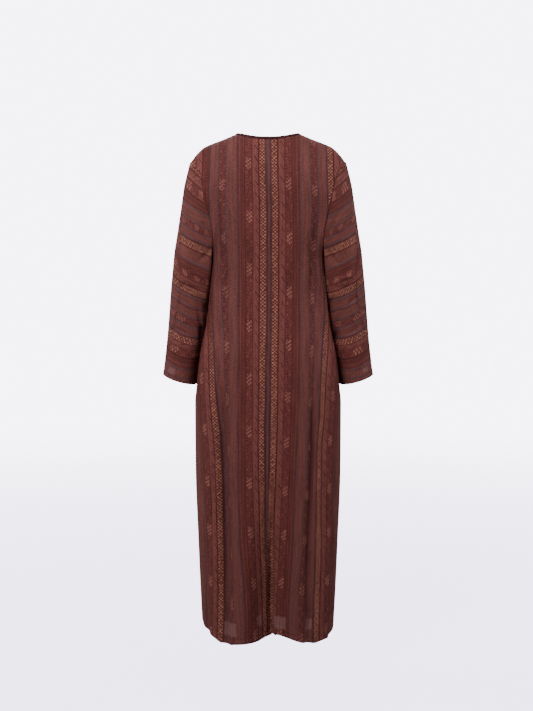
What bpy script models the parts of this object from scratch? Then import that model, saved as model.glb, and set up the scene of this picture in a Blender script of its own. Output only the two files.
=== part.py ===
"""Ankle-length abaya in its worn, filled-out form.

It is cut as two backs with a centre seam, one front, a back and a front half for each sleeve, and a
narrow binding round the neck. Each piece is a wall of cloth with open ends.

The frame has +Z up, the garment's front towards -Y and its left side at +X. The origin is on the
centre line, level with the inner ends of the shoulder seams, where the garment is carried.
"""

import math

import bmesh
import bpy
import numpy as np

# Driving sizes, in metres
LENGTH = 1.361  # from the inner end of the shoulder seam down to the hem
CLOTH = 0.0012  # one layer of the jacquard
TURN_UP = 0.013  # height of the turned-up hem and cuff
TURN_UP_CLOTH = 0.0022  # the wall where the cloth is turned up inside
SEAM_GAP = 0.0004  # between two pieces along a seam

NECK_HALF_WIDTH = 0.090
NECK_BACK_DROP = 0.022
NECK_FRONT_DROP = 0.110
BINDING_WIDTH = 0.010
BINDING_CLOTH = 0.0020

SHOULDER_ROUNDING = 0.150  # drop over which the cloth turns from the shoulder seam to the back
SHOULDER_TIP_X = 0.2115  # where the shoulder seam, the armhole and the overarm seam meet
SHOULDER_TIP_Z = -0.079
ARMPIT_X = 0.1560  # where the side seam, the armhole and the underarm seam meet
ARMPIT_Z = -0.335
SHOULDER_Z = -0.190  # where the armhole begins to lean in over the shoulder
SLEEVE_LENGTH = 0.57
HEM_LIFT = 0.20  # share of a fold's depth by which it lifts the hem

# Columns: height, half width, back depth, front depth, roundness (2 is an ellipse)
BODY_SECTIONS = (
    (-1.400, 0.176, 0.137, 0.152, 2.25),
    (-1.264, 0.184, 0.134, 0.147, 2.25),
    (-1.100, 0.191, 0.130, 0.142, 2.25),
    (-0.900, 0.198, 0.127, 0.137, 2.30),
    (-0.720, 0.199, 0.124, 0.132, 2.35),
    (-0.600, 0.187, 0.119, 0.128, 2.40),
    (-0.500, 0.167, 0.109, 0.126, 2.40),
    (-0.400, 0.157, 0.104, 0.127, 2.40),
    (ARMPIT_Z, ARMPIT_X, 0.105, 0.128, 2.40),
    (-0.260, 0.178, 0.108, 0.122, 2.40),
    (-0.180, 0.200, 0.107, 0.108, 2.40),
    (-0.080, 0.228, 0.098, 0.092, 2.40),
    (0.060, 0.250, 0.088, 0.082, 2.40),
)

# Columns: distance from the centre, height of the shoulder ridge there
SHOULDER_RIDGE = (
    (0.000, 0.032),
    (NECK_HALF_WIDTH, 0.000),
    (0.120, -0.0125),
    (0.150, -0.0240),
    (0.171, -0.0335),
    (0.190, -0.0500),
    (0.203, -0.0660),
    (SHOULDER_TIP_X, SHOULDER_TIP_Z),
    (0.2300, -0.1250),
)

# Columns: height, distance of the armhole seam from the centre
ARMHOLE = (
    (ARMPIT_Z, ARMPIT_X),
    (-0.325, 0.1525),
    (-0.310, 0.1490),
    (-0.281, 0.1475),
    (-0.240, 0.1540),
    (-0.180, 0.1665),
    (-0.139, 0.1760),
    (-0.101, 0.1880),
    (SHOULDER_TIP_Z, SHOULDER_TIP_X),
    (0.060, SHOULDER_TIP_X),
)

# Angles are round the body, in degrees from the centre of the face and positive on the left.
# Columns: angle, how far the hem of the back is lifted there
BACK_HEM_RISE = (
    (-90.0, 0.0300),
    (-80.0, 0.0200),
    (-74.0, 0.0070),
    (-60.0, 0.0055),
    (-46.0, 0.0020),
    (-34.0, 0.0095),
    (-20.0, 0.0150),
    (-11.0, 0.0155),
    (-6.0, 0.0065),
    (-3.0, 0.0005),
    (10.0, 0.0000),
    (25.0, 0.0048),
    (36.0, 0.0030),
    (45.0, -0.0015),
    (50.0, 0.0020),
    (57.0, 0.0110),
    (65.0, 0.0185),
    (72.0, 0.0250),
    (80.0, 0.0420),
    (90.0, 0.0480),
)
# Columns: angle, how far the hem of the front is lifted there
FRONT_HEM_RISE = (
    (-90.0, 0.0300),
    (-78.0, 0.0160),
    (-50.0, 0.0020),
    (-10.0, 0.0000),
    (45.0, 0.0040),
    (75.0, 0.0300),
    (90.0, 0.0480),
)

# Troughs down the body. Angles are round the body in degrees, from the centre of the face (0) to
# the left side seam (90) or the right one (-90). A trough is full between full_z and fade_z, and a
# negative depth makes a ridge. The sleeves lie in the troughs at the side seams, and the back stands
# out a little behind them.
# Columns: angle at start_z, angle at the hem, start_z, full_z, fade_z, end_z, depth,
#          width towards the left, width towards the right
BACK_FOLDS = (
    (-4.0, -5.0, -0.80, -1.34, -1.50, -1.60, 0.040, 38.0, 34.0),
    (-4.0, -5.0, -0.84, -1.34, -1.50, -1.60, 0.026, 30.0, 4.5),
    (57.0, 47.0, -0.12, -0.30, -0.42, -0.66, 0.008, 7.0, 8.0),
    (50.0, 46.0, -0.56, -0.90, -1.10, -1.60, 0.023, 6.5, 8.0),
    (-57.0, -50.0, -0.14, -0.28, -0.40, -0.62, 0.008, 8.0, 7.0),
    (-50.0, -44.0, -0.60, -0.88, -1.12, -1.60, 0.020, 8.0, 6.5),
    (74.0, 70.0, -0.70, -1.05, -1.50, -1.60, 0.007, 6.0, 8.0),
    (-72.0, -74.0, -0.74, -1.00, -1.50, -1.60, 0.007, 8.0, 6.0),
    (90.0, 90.0, -0.336, -0.41, -0.61, -0.73, 0.010, 13.0, 13.0),
    (-90.0, -90.0, -0.336, -0.41, -0.61, -0.73, 0.010, 13.0, 13.0),
    (74.0, 74.0, -0.35, -0.44, -0.61, -0.75, -0.005, 9.0, 12.0),
    (-74.0, -74.0, -0.35, -0.44, -0.61, -0.75, -0.005, 12.0, 9.0),
)
FRONT_FOLDS = (
    (3.0, 6.0, -0.62, -1.30, -1.50, -1.60, 0.040, 24.0, 17.0),
    (-20.0, -27.0, -0.30, -0.80, -1.50, -1.60, 0.016, 9.0, 8.0),
    (26.0, 36.0, -0.32, -0.90, -1.50, -1.60, 0.018, 8.0, 10.0),
    (55.0, 58.0, -0.20, -0.70, -1.50, -1.60, 0.012, 7.0, 8.0),
    (-54.0, -57.0, -0.22, -0.60, -1.50, -1.60, 0.013, 8.0, 7.0),
    (90.0, 90.0, -0.336, -0.41, -0.61, -0.73, 0.010, 18.0, 18.0),
    (-90.0, -90.0, -0.336, -0.41, -0.61, -0.73, 0.010, 18.0, 18.0),
)

# Columns: share of the sleeve's length, outer edge x and z, inner edge x and z,
#          half depth front to back, middle of the sleeve front to back
SLEEVE_SECTIONS = (
    (0.0, SHOULDER_TIP_X, SHOULDER_TIP_Z, ARMPIT_X, ARMPIT_Z, 0.070, 0.000),
    (0.1, 0.2265, -0.138, 0.1568, -0.3720, 0.069, -0.002),
    (0.2, 0.2360, -0.195, 0.1558, -0.4070, 0.068, -0.005),
    (0.3, 0.2455, -0.250, 0.1562, -0.4400, 0.066, -0.007),
    (0.4, 0.2545, -0.306, 0.1580, -0.4720, 0.065, -0.009),
    (0.5, 0.2600, -0.362, 0.1620, -0.5030, 0.064, -0.011),
    (0.6, 0.2655, -0.418, 0.1680, -0.5340, 0.063, -0.013),
    (0.7, 0.2700, -0.475, 0.1750, -0.5650, 0.062, -0.015),
    (0.8, 0.2745, -0.530, 0.1825, -0.5980, 0.062, -0.017),
    (0.9, 0.2810, -0.591, 0.1895, -0.6350, 0.062, -0.020),
    (1.0, 0.2880, -0.647, 0.1955, -0.6735, 0.062, -0.023),
)

# Columns: share of the sleeve's length, degrees by which the overarm seam is turned to the back
SEAM_TURN = (
    (0.0, 0.0),
    (0.2, 24.0),
    (0.35, 42.0),
    (0.5, 58.0),
    (0.62, 60.0),
    (0.8, 36.0),
    (1.0, 14.0),
)
CUFF_TILT = math.radians(6)  # the back of the cuff hangs lower than its front
CAP_BLEND = 0.45  # share of the sleeve over which the armhole's shape fades into plain rings

# Troughs across a sleeve, on its back (1) or front (-1) half. Turns run from the overarm seam (0)
# to the underarm seam (1).
# Columns: sleeve (1 left, -1 right, 0 both), half, length share, turn, length share gained over
#          the turn, half length share, half turn, depth
SLEEVE_FOLDS = (
    (1, 1, 0.43, 0.76, -0.06, 0.055, 0.24, 0.006),
    (-1, 1, 0.41, 0.76, 0.07, 0.055, 0.24, 0.006),
    (1, 1, 0.62, 0.72, 0.08, 0.055, 0.26, 0.006),
    (-1, 1, 0.66, 0.72, -0.05, 0.060, 0.26, 0.005),
    (0, -1, 0.36, 0.70, 0.10, 0.060, 0.28, 0.006),
    (0, -1, 0.54, 0.64, -0.07, 0.055, 0.30, 0.008),
    (0, -1, 0.72, 0.70, 0.05, 0.055, 0.28, 0.006),
)

# How finely each piece is laid out. Neck columns are shares of the way from the centre to the
# shoulder seam, closer where the centre-back fold and the shoulder bend most.
BACK_NECK_COLUMNS = (0, 0.014, 0.03, 0.05, 0.07, 0.1, 0.15, 0.22, 0.3, 0.39, 0.49, 0.6, 0.71, 0.82, 0.92, 1)
FRONT_NECK_COLUMNS = (0, 0.12, 0.24, 0.37, 0.5, 0.62, 0.73, 0.83, 0.92, 1)
SHOULDER_COLUMNS = 7
SKIRT_ROWS = 14
ARMHOLE_ROWS = 6
SHOULDER_ROWS = 7
CAP_ROWS = 8
ARM_ROWS = 8

WINE = (0.108, 0.024, 0.021, 1.0)
DARK_WINE = (0.062, 0.012, 0.012, 1.0)


def smooth(table, column, at):
    """A column of a table at the key `at`, by a monotone cubic, so that nothing bulges between rows."""
    rows = np.asarray(table, float)
    keys, values = rows[:, 0], rows[:, column]
    step = np.diff(keys)
    slope = np.diff(values) / step
    tangent = np.concatenate([slope[:1], np.zeros(len(keys) - 2), slope[-1:]])
    inner = slope[:-1] * slope[1:] > 0
    before, after = 2 * step[1:] + step[:-1], step[1:] + 2 * step[:-1]
    with np.errstate(divide="ignore", invalid="ignore"):
        mean = (before + after) / (before / slope[:-1] + after / slope[1:])
    tangent[1:-1][inner] = mean[inner]
    at = np.clip(at, keys[0], keys[-1])
    i = np.clip(np.searchsorted(keys, at, side="right") - 1, 0, len(keys) - 2)
    t = (at - keys[i]) / step[i]
    start, end = values[i], values[i + 1]
    rise = (3 - 2 * t) * t * t * (end - start)
    bend = step[i] * t * (1 - t) * ((1 - t) * tangent[i] - t * tangent[i + 1])
    return start + rise + bend


def ramp(x, start, end):
    """0 before start, 1 after end, and a smooth rise between them."""
    t = np.clip((x - start) / (end - start), 0, 1)
    return t * t * (3 - 2 * t)


def unit(vectors):
    return vectors / np.maximum(np.linalg.norm(vectors, axis=-1, keepdims=True), 1e-15)


def normals_of(place, rows, columns):
    """Normals of the cloth `place(row, column)`, by small steps along it."""
    step = 1e-5
    down = place(rows + step, columns) - place(rows - step, columns)
    over = place(rows, columns + step) - place(rows, columns - step)
    return unit(np.cross(down, over))


# The body


def ring(z, face):
    """Half width, depth and roundness of the body at a height."""
    depth = smooth(BODY_SECTIONS, 2 if face > 0 else 3, z)
    return smooth(BODY_SECTIONS, 1, z), depth, smooth(BODY_SECTIONS, 4, z)


def angle_at(x, z, face):
    """Angle round the body, from the middle of the face, of the ring's point at a distance x."""
    width, depth, power = ring(z, face)
    y = depth * np.clip(1 - (x / width) ** power, 0, 1) ** (1 / power)
    return np.arctan2(x, y)


def edge_angle(z, face):
    """Angle of the side seam or, above the armpit, of the armhole seam."""
    return np.where(z > ARMPIT_Z, angle_at(smooth(ARMHOLE, 1, z), z, face), math.pi / 2)


def top_edge(reach, face):
    """Height of the neck edge or the shoulder seam at a distance from the centre."""
    drop = NECK_BACK_DROP if face > 0 else NECK_FRONT_DROP
    neck = -drop * (1 - (reach / NECK_HALF_WIDTH) ** 2)
    return np.where(reach < NECK_HALF_WIDTH, neck, smooth(SHOULDER_RIDGE, 1, reach))


def folds_of(face):
    return BACK_FOLDS if face > 0 else FRONT_FOLDS


def fold_depth(folds, angle, z):
    """How far the troughs push the cloth inwards at an angle round the body."""
    depth = np.zeros(np.broadcast(angle, z).shape)
    for start_angle, hem_angle, start, full, fade, end, deepest, left, right in folds:
        middle = start_angle + (hem_angle - start_angle) * ramp(-z, -start, LENGTH)
        away = angle - middle
        across = np.clip(np.abs(away) / np.where(away > 0, left, right), 0, 1)
        along = ramp(-z, -start, -full) * (1 - ramp(-z, -fade, -end))
        depth = depth + deepest * along * np.cos(across * math.pi / 2) ** 2
    return depth


def cloth_at(angle, z, face):
    """The body's cloth at an angle round it, in radians and negative on the right, and a height."""
    width, depth, power = ring(z, face)
    side, sin, cos = np.where(angle < 0, -1.0, 1.0), np.sin(np.abs(angle)), np.cos(angle)
    radius = ((sin / width) ** power + (np.abs(cos) / depth) ** power) ** (-1 / power)
    x, y = radius * sin, radius * cos
    out_x, out_y = (x / width) ** (power - 1) / width, (np.abs(y) / depth) ** (power - 1) / depth
    drop = np.clip((smooth(SHOULDER_RIDGE, 1, x) - z) / SHOULDER_ROUNDING, 0, 1)
    y = y * np.sqrt(np.clip(1 - (1 - drop) ** 2, 0, 1))
    inward = fold_depth(folds_of(face), np.degrees(angle), z) / np.hypot(out_x, out_y)
    return np.stack([side * (x - inward * out_x), face * (y - inward * out_y), z], -1)


def place_on_body(reach, rise, face):
    """Angle and height of a point of the back (face 1) or front (face -1). `reach` is the distance
    from the centre at which its column meets the top edge, and is negative on the right. `rise` runs
    from 0 at the hem through 1 at the armpit and 2 where the shoulder begins to 3 at the top edge."""
    reach, rise = np.broadcast_arrays(np.asarray(reach, float), np.asarray(rise, float))
    side, reach = np.where(reach < 0, -1.0, 1.0), np.abs(reach)
    top = top_edge(reach, face)
    turn = angle_at(reach, top, face) / edge_angle(top, face)
    hem = np.full(turn.shape, -LENGTH)
    hem_angle = 90 * turn * side
    lift = HEM_LIFT * fold_depth(folds_of(face), hem_angle, hem)
    hem = hem + lift + smooth(BACK_HEM_RISE if face > 0 else FRONT_HEM_RISE, 1, hem_angle)
    skirt = hem + (ARMPIT_Z - hem) * np.clip(rise, 0, 1)
    chest = ARMPIT_Z + (SHOULDER_Z - ARMPIT_Z) * np.clip(rise - 1, 0, 1) ** 2
    shoulder = top - (top - SHOULDER_Z) * (1 - np.sin(np.clip(rise - 2, 0, 1) * math.pi / 2))
    z = np.where(rise <= 1, skirt, np.where(rise <= 2, chest, shoulder))
    return side * turn * edge_angle(z, face), z


def body(reach, rise, face):
    """The cloth of the back (face 1) or the front (face -1)."""
    return cloth_at(*place_on_body(reach, rise, face), face)


def body_normals(reach, rise, face):
    """Outward normals of the body's cloth. Over the shoulder they are taken along the curve that
    turns over it, because the cloth is level at the shoulder seam."""
    angle, z = place_on_body(reach, rise, face)
    low = normals_of(lambda row, column: cloth_at(column, row, face), z, angle)
    width, depth, power = ring(z, face)
    radius = ((np.sin(np.abs(angle)) / width) ** power + (np.cos(angle) / depth) ** power) ** (-1 / power)
    across = radius * np.sin(angle)
    drop = (smooth(SHOULDER_RIDGE, 1, np.abs(across)) - z) / SHOULDER_ROUNDING

    def over_shoulder(row, column):
        height = smooth(SHOULDER_RIDGE, 1, np.abs(column)) - SHOULDER_ROUNDING * (1 - np.cos(row))
        return cloth_at(np.sign(column) * angle_at(np.abs(column), height, face), height, face)

    high = -normals_of(over_shoulder, np.maximum(np.arccos(np.clip(1 - drop, 0, 1)), 2e-3), across)
    return np.where(drop[..., None] < 1, high, low) * face


# The sleeves


def sleeve_ring(along, turn, half):
    """A plain ring of the left sleeve. `turn` runs from 0 at the overarm seam to 1 at the underarm."""
    outer = np.stack([smooth(SLEEVE_SECTIONS, 1, along), smooth(SLEEVE_SECTIONS, 2, along)], -1)
    inner = np.stack([smooth(SLEEVE_SECTIONS, 3, along), smooth(SLEEVE_SECTIONS, 4, along)], -1)
    depth, middle_y = smooth(SLEEVE_SECTIONS, 5, along), smooth(SLEEVE_SECTIONS, 6, along)
    middle, reach = (outer + inner) / 2, (outer - inner) / 2
    seam = half * np.radians(smooth(SEAM_TURN, 1, along))
    angle = seam + turn * (math.pi - seam)
    cos, sin = np.cos(angle), np.sin(angle)
    tilt = CUFF_TILT * along
    x = middle[..., 0] + reach[..., 0] * cos
    y = middle_y + half * depth * sin * np.cos(tilt)
    z = middle[..., 1] + reach[..., 1] * cos - half * depth * sin * np.sin(tilt)
    return np.stack([x, y, z], -1)


def armhole_seam(turn, half):
    """The body's left armhole edge, moved off it by the seam's gap, and the body's normals there."""
    rise = 3 - 2 * turn
    edge = body(SHOULDER_TIP_X, rise, half)
    above, below = np.minimum(rise + 1e-3, 3), np.maximum(rise - 1e-3, 1)
    along = body(SHOULDER_TIP_X, above, half) - body(SHOULDER_TIP_X, below, half)
    normals = body_normals(SHOULDER_TIP_X, rise, half)
    away = unit(np.cross(normals, along)) * half
    return edge + SEAM_GAP * (away / 2 + normals * turn[..., None] ** 2), normals


def sleeve(along, turn, half, mirror):
    """The cloth of a sleeve's back (half 1) or front (half -1), on the left (mirror 1) or right."""
    along, turn = np.broadcast_arrays(np.asarray(along, float), np.asarray(turn, float))
    start = sleeve_ring(np.zeros_like(along), turn, half)
    fade = (1 - ramp(along, 0, CAP_BLEND))[..., None]
    points = sleeve_ring(along, turn, half) + fade * (armhole_seam(turn, half)[0] - start)
    middle = (sleeve_ring(along, 0 * turn, half) + sleeve_ring(along, 0 * turn + 1, half)) / 2
    for fold_side, fold_half, at, fold_turn, gain, half_length, half_turn, depth in SLEEVE_FOLDS:
        if fold_half != half or fold_side not in (0, mirror):
            continue
        line = at + gain * (turn - fold_turn)
        across = np.clip(np.abs(along - line) / half_length, 0, 1)
        reach = np.clip(np.abs(turn - fold_turn) / half_turn, 0, 1)
        push = depth * np.cos(across * math.pi / 2) ** 2 * np.cos(reach * math.pi / 2) ** 2
        points = points + push[..., None] * unit(middle - points)
    return points * np.array([mirror, 1, 1])


# Walls of cloth


def add_sheet(mesh, points, rises, closed):
    """A sheet of faces over rows of points, two to a cell. `rises` says where the cut between the
    two goes from the first corner to the last. Returns the loops of vertices along the rims."""
    rows = [[mesh.verts.new(p) for p in row] for row in points]
    loops = [row + row[:1] for row in rows] if closed else rows
    for i, (near, far) in enumerate(zip(loops, loops[1:])):
        for j, (a, b, c, d) in enumerate(zip(near, near[1:], far, far[1:])):
            halves = ((a, b, d), (a, d, c)) if rises[i, j] else ((a, b, c), (b, d, c))
            for half in halves:
                mesh.faces.new(half)
    if closed:
        return [rows[0], rows[-1]]
    right_rim, left_rim = [row[-1] for row in rows], [row[0] for row in rows]
    return [rows[0] + right_rim[1:] + rows[-1][-2::-1] + left_rim[-2:0:-1]]


def make_wall(name, outer, inner, colour, closed=False):
    """A closed solid between an outer and an inner sheet of points."""
    wide = np.concatenate([outer, outer[:, :1]], 1) if closed else outer
    rising = np.linalg.norm(wide[1:, 1:] - wide[:-1, :-1], axis=-1)
    falling = np.linalg.norm(wide[1:, :-1] - wide[:-1, 1:], axis=-1)
    mesh = bmesh.new()
    outer_rims = add_sheet(mesh, outer, rising < falling, closed)
    inner_rims = add_sheet(mesh, inner, rising < falling, closed)
    for outer_rim, inner_rim in zip(outer_rims, inner_rims):
        for i, corner in enumerate(outer_rim):
            mesh.faces.new((outer_rim[i - 1], corner, inner_rim[i], inner_rim[i - 1]))
    bmesh.ops.recalc_face_normals(mesh, faces=mesh.faces)
    if mesh.calc_volume(signed=True) < 0:
        bmesh.ops.reverse_faces(mesh, faces=mesh.faces)
    data = bpy.data.meshes.new(name)
    mesh.to_mesh(data)
    mesh.free()
    data.shade_smooth()
    data.materials.append(cloth_material(name, colour))
    thing = bpy.data.objects.new(name, data)
    bpy.context.scene.collection.objects.link(thing)


def cloth_material(name, colour):
    material = bpy.data.materials.new(name)
    material.use_nodes = True
    shader = material.node_tree.nodes["Principled BSDF"]
    shader.inputs["Base Color"].default_value = colour
    shader.inputs["Roughness"].default_value = 0.85
    shader.inputs["Metallic"].default_value = 0.0
    return material


def spread(*spans):
    """Grid positions over spans of (start, end, steps), each starting where the last one ends."""
    return np.concatenate([[spans[0][0]]] + [np.linspace(a, b, n + 1)[1:] for a, b, n in spans])


def body_rows():
    """Rows up the body, with a narrow one for the turned-up hem."""
    hem = TURN_UP / (LENGTH + ARMPIT_Z)
    low = ((0, hem, 1), (hem, hem * 1.1, 1), (hem * 1.1, 1, SKIRT_ROWS))
    return spread(*low, (1, 2, ARMHOLE_ROWS), (2, 3, SHOULDER_ROWS))


def neck_columns(face):
    """Columns that end at the neck edge, from the centre to the shoulder seam."""
    share = np.array(BACK_NECK_COLUMNS if face > 0 else FRONT_NECK_COLUMNS)
    return NECK_HALF_WIDTH * np.sin(share * math.pi / 2)


def body_columns(face):
    """Columns from the centre to the armhole. They meet at the shoulder seam on both faces."""
    shoulder = np.linspace(NECK_HALF_WIDTH, SHOULDER_TIP_X, SHOULDER_COLUMNS + 1)
    return np.concatenate([neck_columns(face)[:-1], shoulder])


def trim(edge, inside, normals, amount):
    """An edge of a sheet drawn back into it, to leave room for the seam."""
    inward = unit(np.cross(normals, np.gradient(edge, axis=0)))
    return edge + inward * np.sign((inward * (inside - edge)).sum()) * amount


def meeting(own, other, turns_down):
    """Where the cloth turns down over a seam, both walls end along the direction between them."""
    return np.where(turns_down[:, None], unit(own + other), own)


def make_body_piece(name, face, reaches):
    rows = body_rows()
    rise, reach = np.meshgrid(rows, reaches, indexing="ij")
    outer, normals = body(reach, rise, face), body_normals(reach, rise, face)
    trimmed = outer.copy()
    for rim, inside in ((0, 1), (-1, -2)):
        trimmed[:, rim] = trim(outer[:, rim], outer[:, inside], normals[:, rim], SEAM_GAP / 2)
    shoulder = np.abs(reaches) >= NECK_HALF_WIDTH - 1e-9
    drawn = trim(trimmed[-1], trimmed[-2], normals[-1], SEAM_GAP / 2)
    trimmed[-1] = np.where(shoulder[:, None], drawn, trimmed[-1])
    armhole = rows >= 1
    turns = (3 - rows[armhole]) / 2
    for rim, mirror in ((0, -1), (-1, 1)):
        if abs(reaches[rim]) < SHOULDER_TIP_X:
            continue
        own, other, turns_down = armhole_normals(turns, face, mirror)
        normals[armhole, rim] = meeting(own, other, turns_down)
    inner = trimmed - normals * np.where(rise <= rows[1] + 1e-9, TURN_UP_CLOTH, CLOTH)[..., None]
    make_wall(name, trimmed, inner, WINE)


def sleeve_normals_at(along, turn, half, mirror):
    """Outward normals of a sleeve's cloth."""

    def place(row, column):
        return sleeve(np.clip(row, 0, 1), np.clip(column, 0, 1), half, mirror)

    return normals_of(place, along, turn) * half * mirror


def armhole_normals(turns, half, mirror):
    """Normals of the body and of the sleeve at the armhole, and where the sleeve turns down there."""
    flip = np.array([mirror, 1, 1])
    edge, body_side = armhole_seam(turns, half)
    sleeve_side = sleeve_normals_at(np.zeros_like(turns), turns, half, mirror)
    upwards = -np.gradient(edge, turns, axis=0)
    away = unit(np.cross(body_side, upwards)) * half
    return body_side * flip, sleeve_side, (sleeve_side * flip * away).sum(-1) > 0


def make_sleeve_piece(name, half, mirror):
    cuff = 1 - TURN_UP / SLEEVE_LENGTH
    low = ((CAP_BLEND, cuff - 0.003, ARM_ROWS), (cuff - 0.003, cuff, 1), (cuff, 1, 1))
    rows = spread((0, CAP_BLEND, CAP_ROWS), *low)
    body_edge = body_rows()
    turns = (3 - body_edge[body_edge >= 1][::-1]) / 2
    along, turn = np.meshgrid(rows, turns, indexing="ij")
    outer, normals = sleeve(along, turn, half, mirror), sleeve_normals_at(along, turn, half, mirror)
    other, own, turns_down = armhole_normals(turns, half, mirror)
    normals[0] = meeting(own, other, turns_down)
    for rim, inside in ((0, 1), (-1, -2)):
        outer[:, rim] = trim(outer[:, rim], outer[:, inside], normals[:, rim], SEAM_GAP / 2)
    inner = outer - normals * np.where(along >= cuff - 1e-9, TURN_UP_CLOTH, CLOTH)[..., None]
    make_wall(name, outer, inner, WINE)


def make_binding(name):
    """The strip round the neck, carried on from the edges of the back and the front."""
    loop, normals = [], []
    for face in (1, -1):
        half = neck_columns(face)
        reaches = np.concatenate([-half[:0:-1], half])[::-face][:-1]
        loop.append(body(reaches, 3.0, face))
        normals.append(body_normals(reaches, 3.0, face))
    loop, normals = np.concatenate(loop), np.concatenate(normals)
    tangent = np.roll(loop, -1, 0) - np.roll(loop, 1, 0)
    inward = unit(np.cross(normals, tangent))
    inward = inward * np.sign(-(inward * (loop - loop.mean(0))).sum())
    widths = np.array([SEAM_GAP, SEAM_GAP + BINDING_WIDTH / 2, SEAM_GAP + BINDING_WIDTH])[:, None, None]
    outer = loop + widths * inward + normals * (BINDING_CLOTH - CLOTH) / 2
    make_wall(name, outer, outer - normals * BINDING_CLOTH, DARK_WINE, closed=True)


def main():
    for thing in list(bpy.data.objects):
        bpy.data.objects.remove(thing)
    back, front = body_columns(1), body_columns(-1)
    make_body_piece("back_left", 1, back)
    make_body_piece("back_right", 1, -back[::-1])
    make_body_piece("front", -1, np.concatenate([-front[:0:-1], front]))
    for side, mirror in (("left", 1), ("right", -1)):
        make_sleeve_piece(f"sleeve_{side}_back", 1, mirror)
        make_sleeve_piece(f"sleeve_{side}_front", -1, mirror)
    make_binding("neck_binding")


main()
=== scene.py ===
import math
from functools import partial

import bmesh
import bpy
import numpy as np
from mathutils import Matrix, Vector


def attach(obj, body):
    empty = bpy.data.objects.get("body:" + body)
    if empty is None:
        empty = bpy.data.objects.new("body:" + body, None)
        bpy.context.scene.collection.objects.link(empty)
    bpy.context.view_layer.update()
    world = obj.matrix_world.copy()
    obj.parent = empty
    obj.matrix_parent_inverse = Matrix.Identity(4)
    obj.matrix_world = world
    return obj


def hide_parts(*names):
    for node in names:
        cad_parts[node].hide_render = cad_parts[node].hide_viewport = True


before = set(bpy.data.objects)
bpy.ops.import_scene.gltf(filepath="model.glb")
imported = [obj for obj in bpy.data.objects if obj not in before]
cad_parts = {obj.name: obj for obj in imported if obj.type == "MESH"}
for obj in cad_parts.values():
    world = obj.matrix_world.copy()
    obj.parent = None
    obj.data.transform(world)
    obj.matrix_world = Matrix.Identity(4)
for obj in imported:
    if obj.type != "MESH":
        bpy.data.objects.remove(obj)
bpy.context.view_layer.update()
print("frame loaded")

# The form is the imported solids' own, worked out again here on a finer grid and with its small creases.
# All lengths are metres, apart from the tables of creases and drifts, which are in millimetres.
# The back is face 1 (+Y), the front is face -1, and left is +X.

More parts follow.
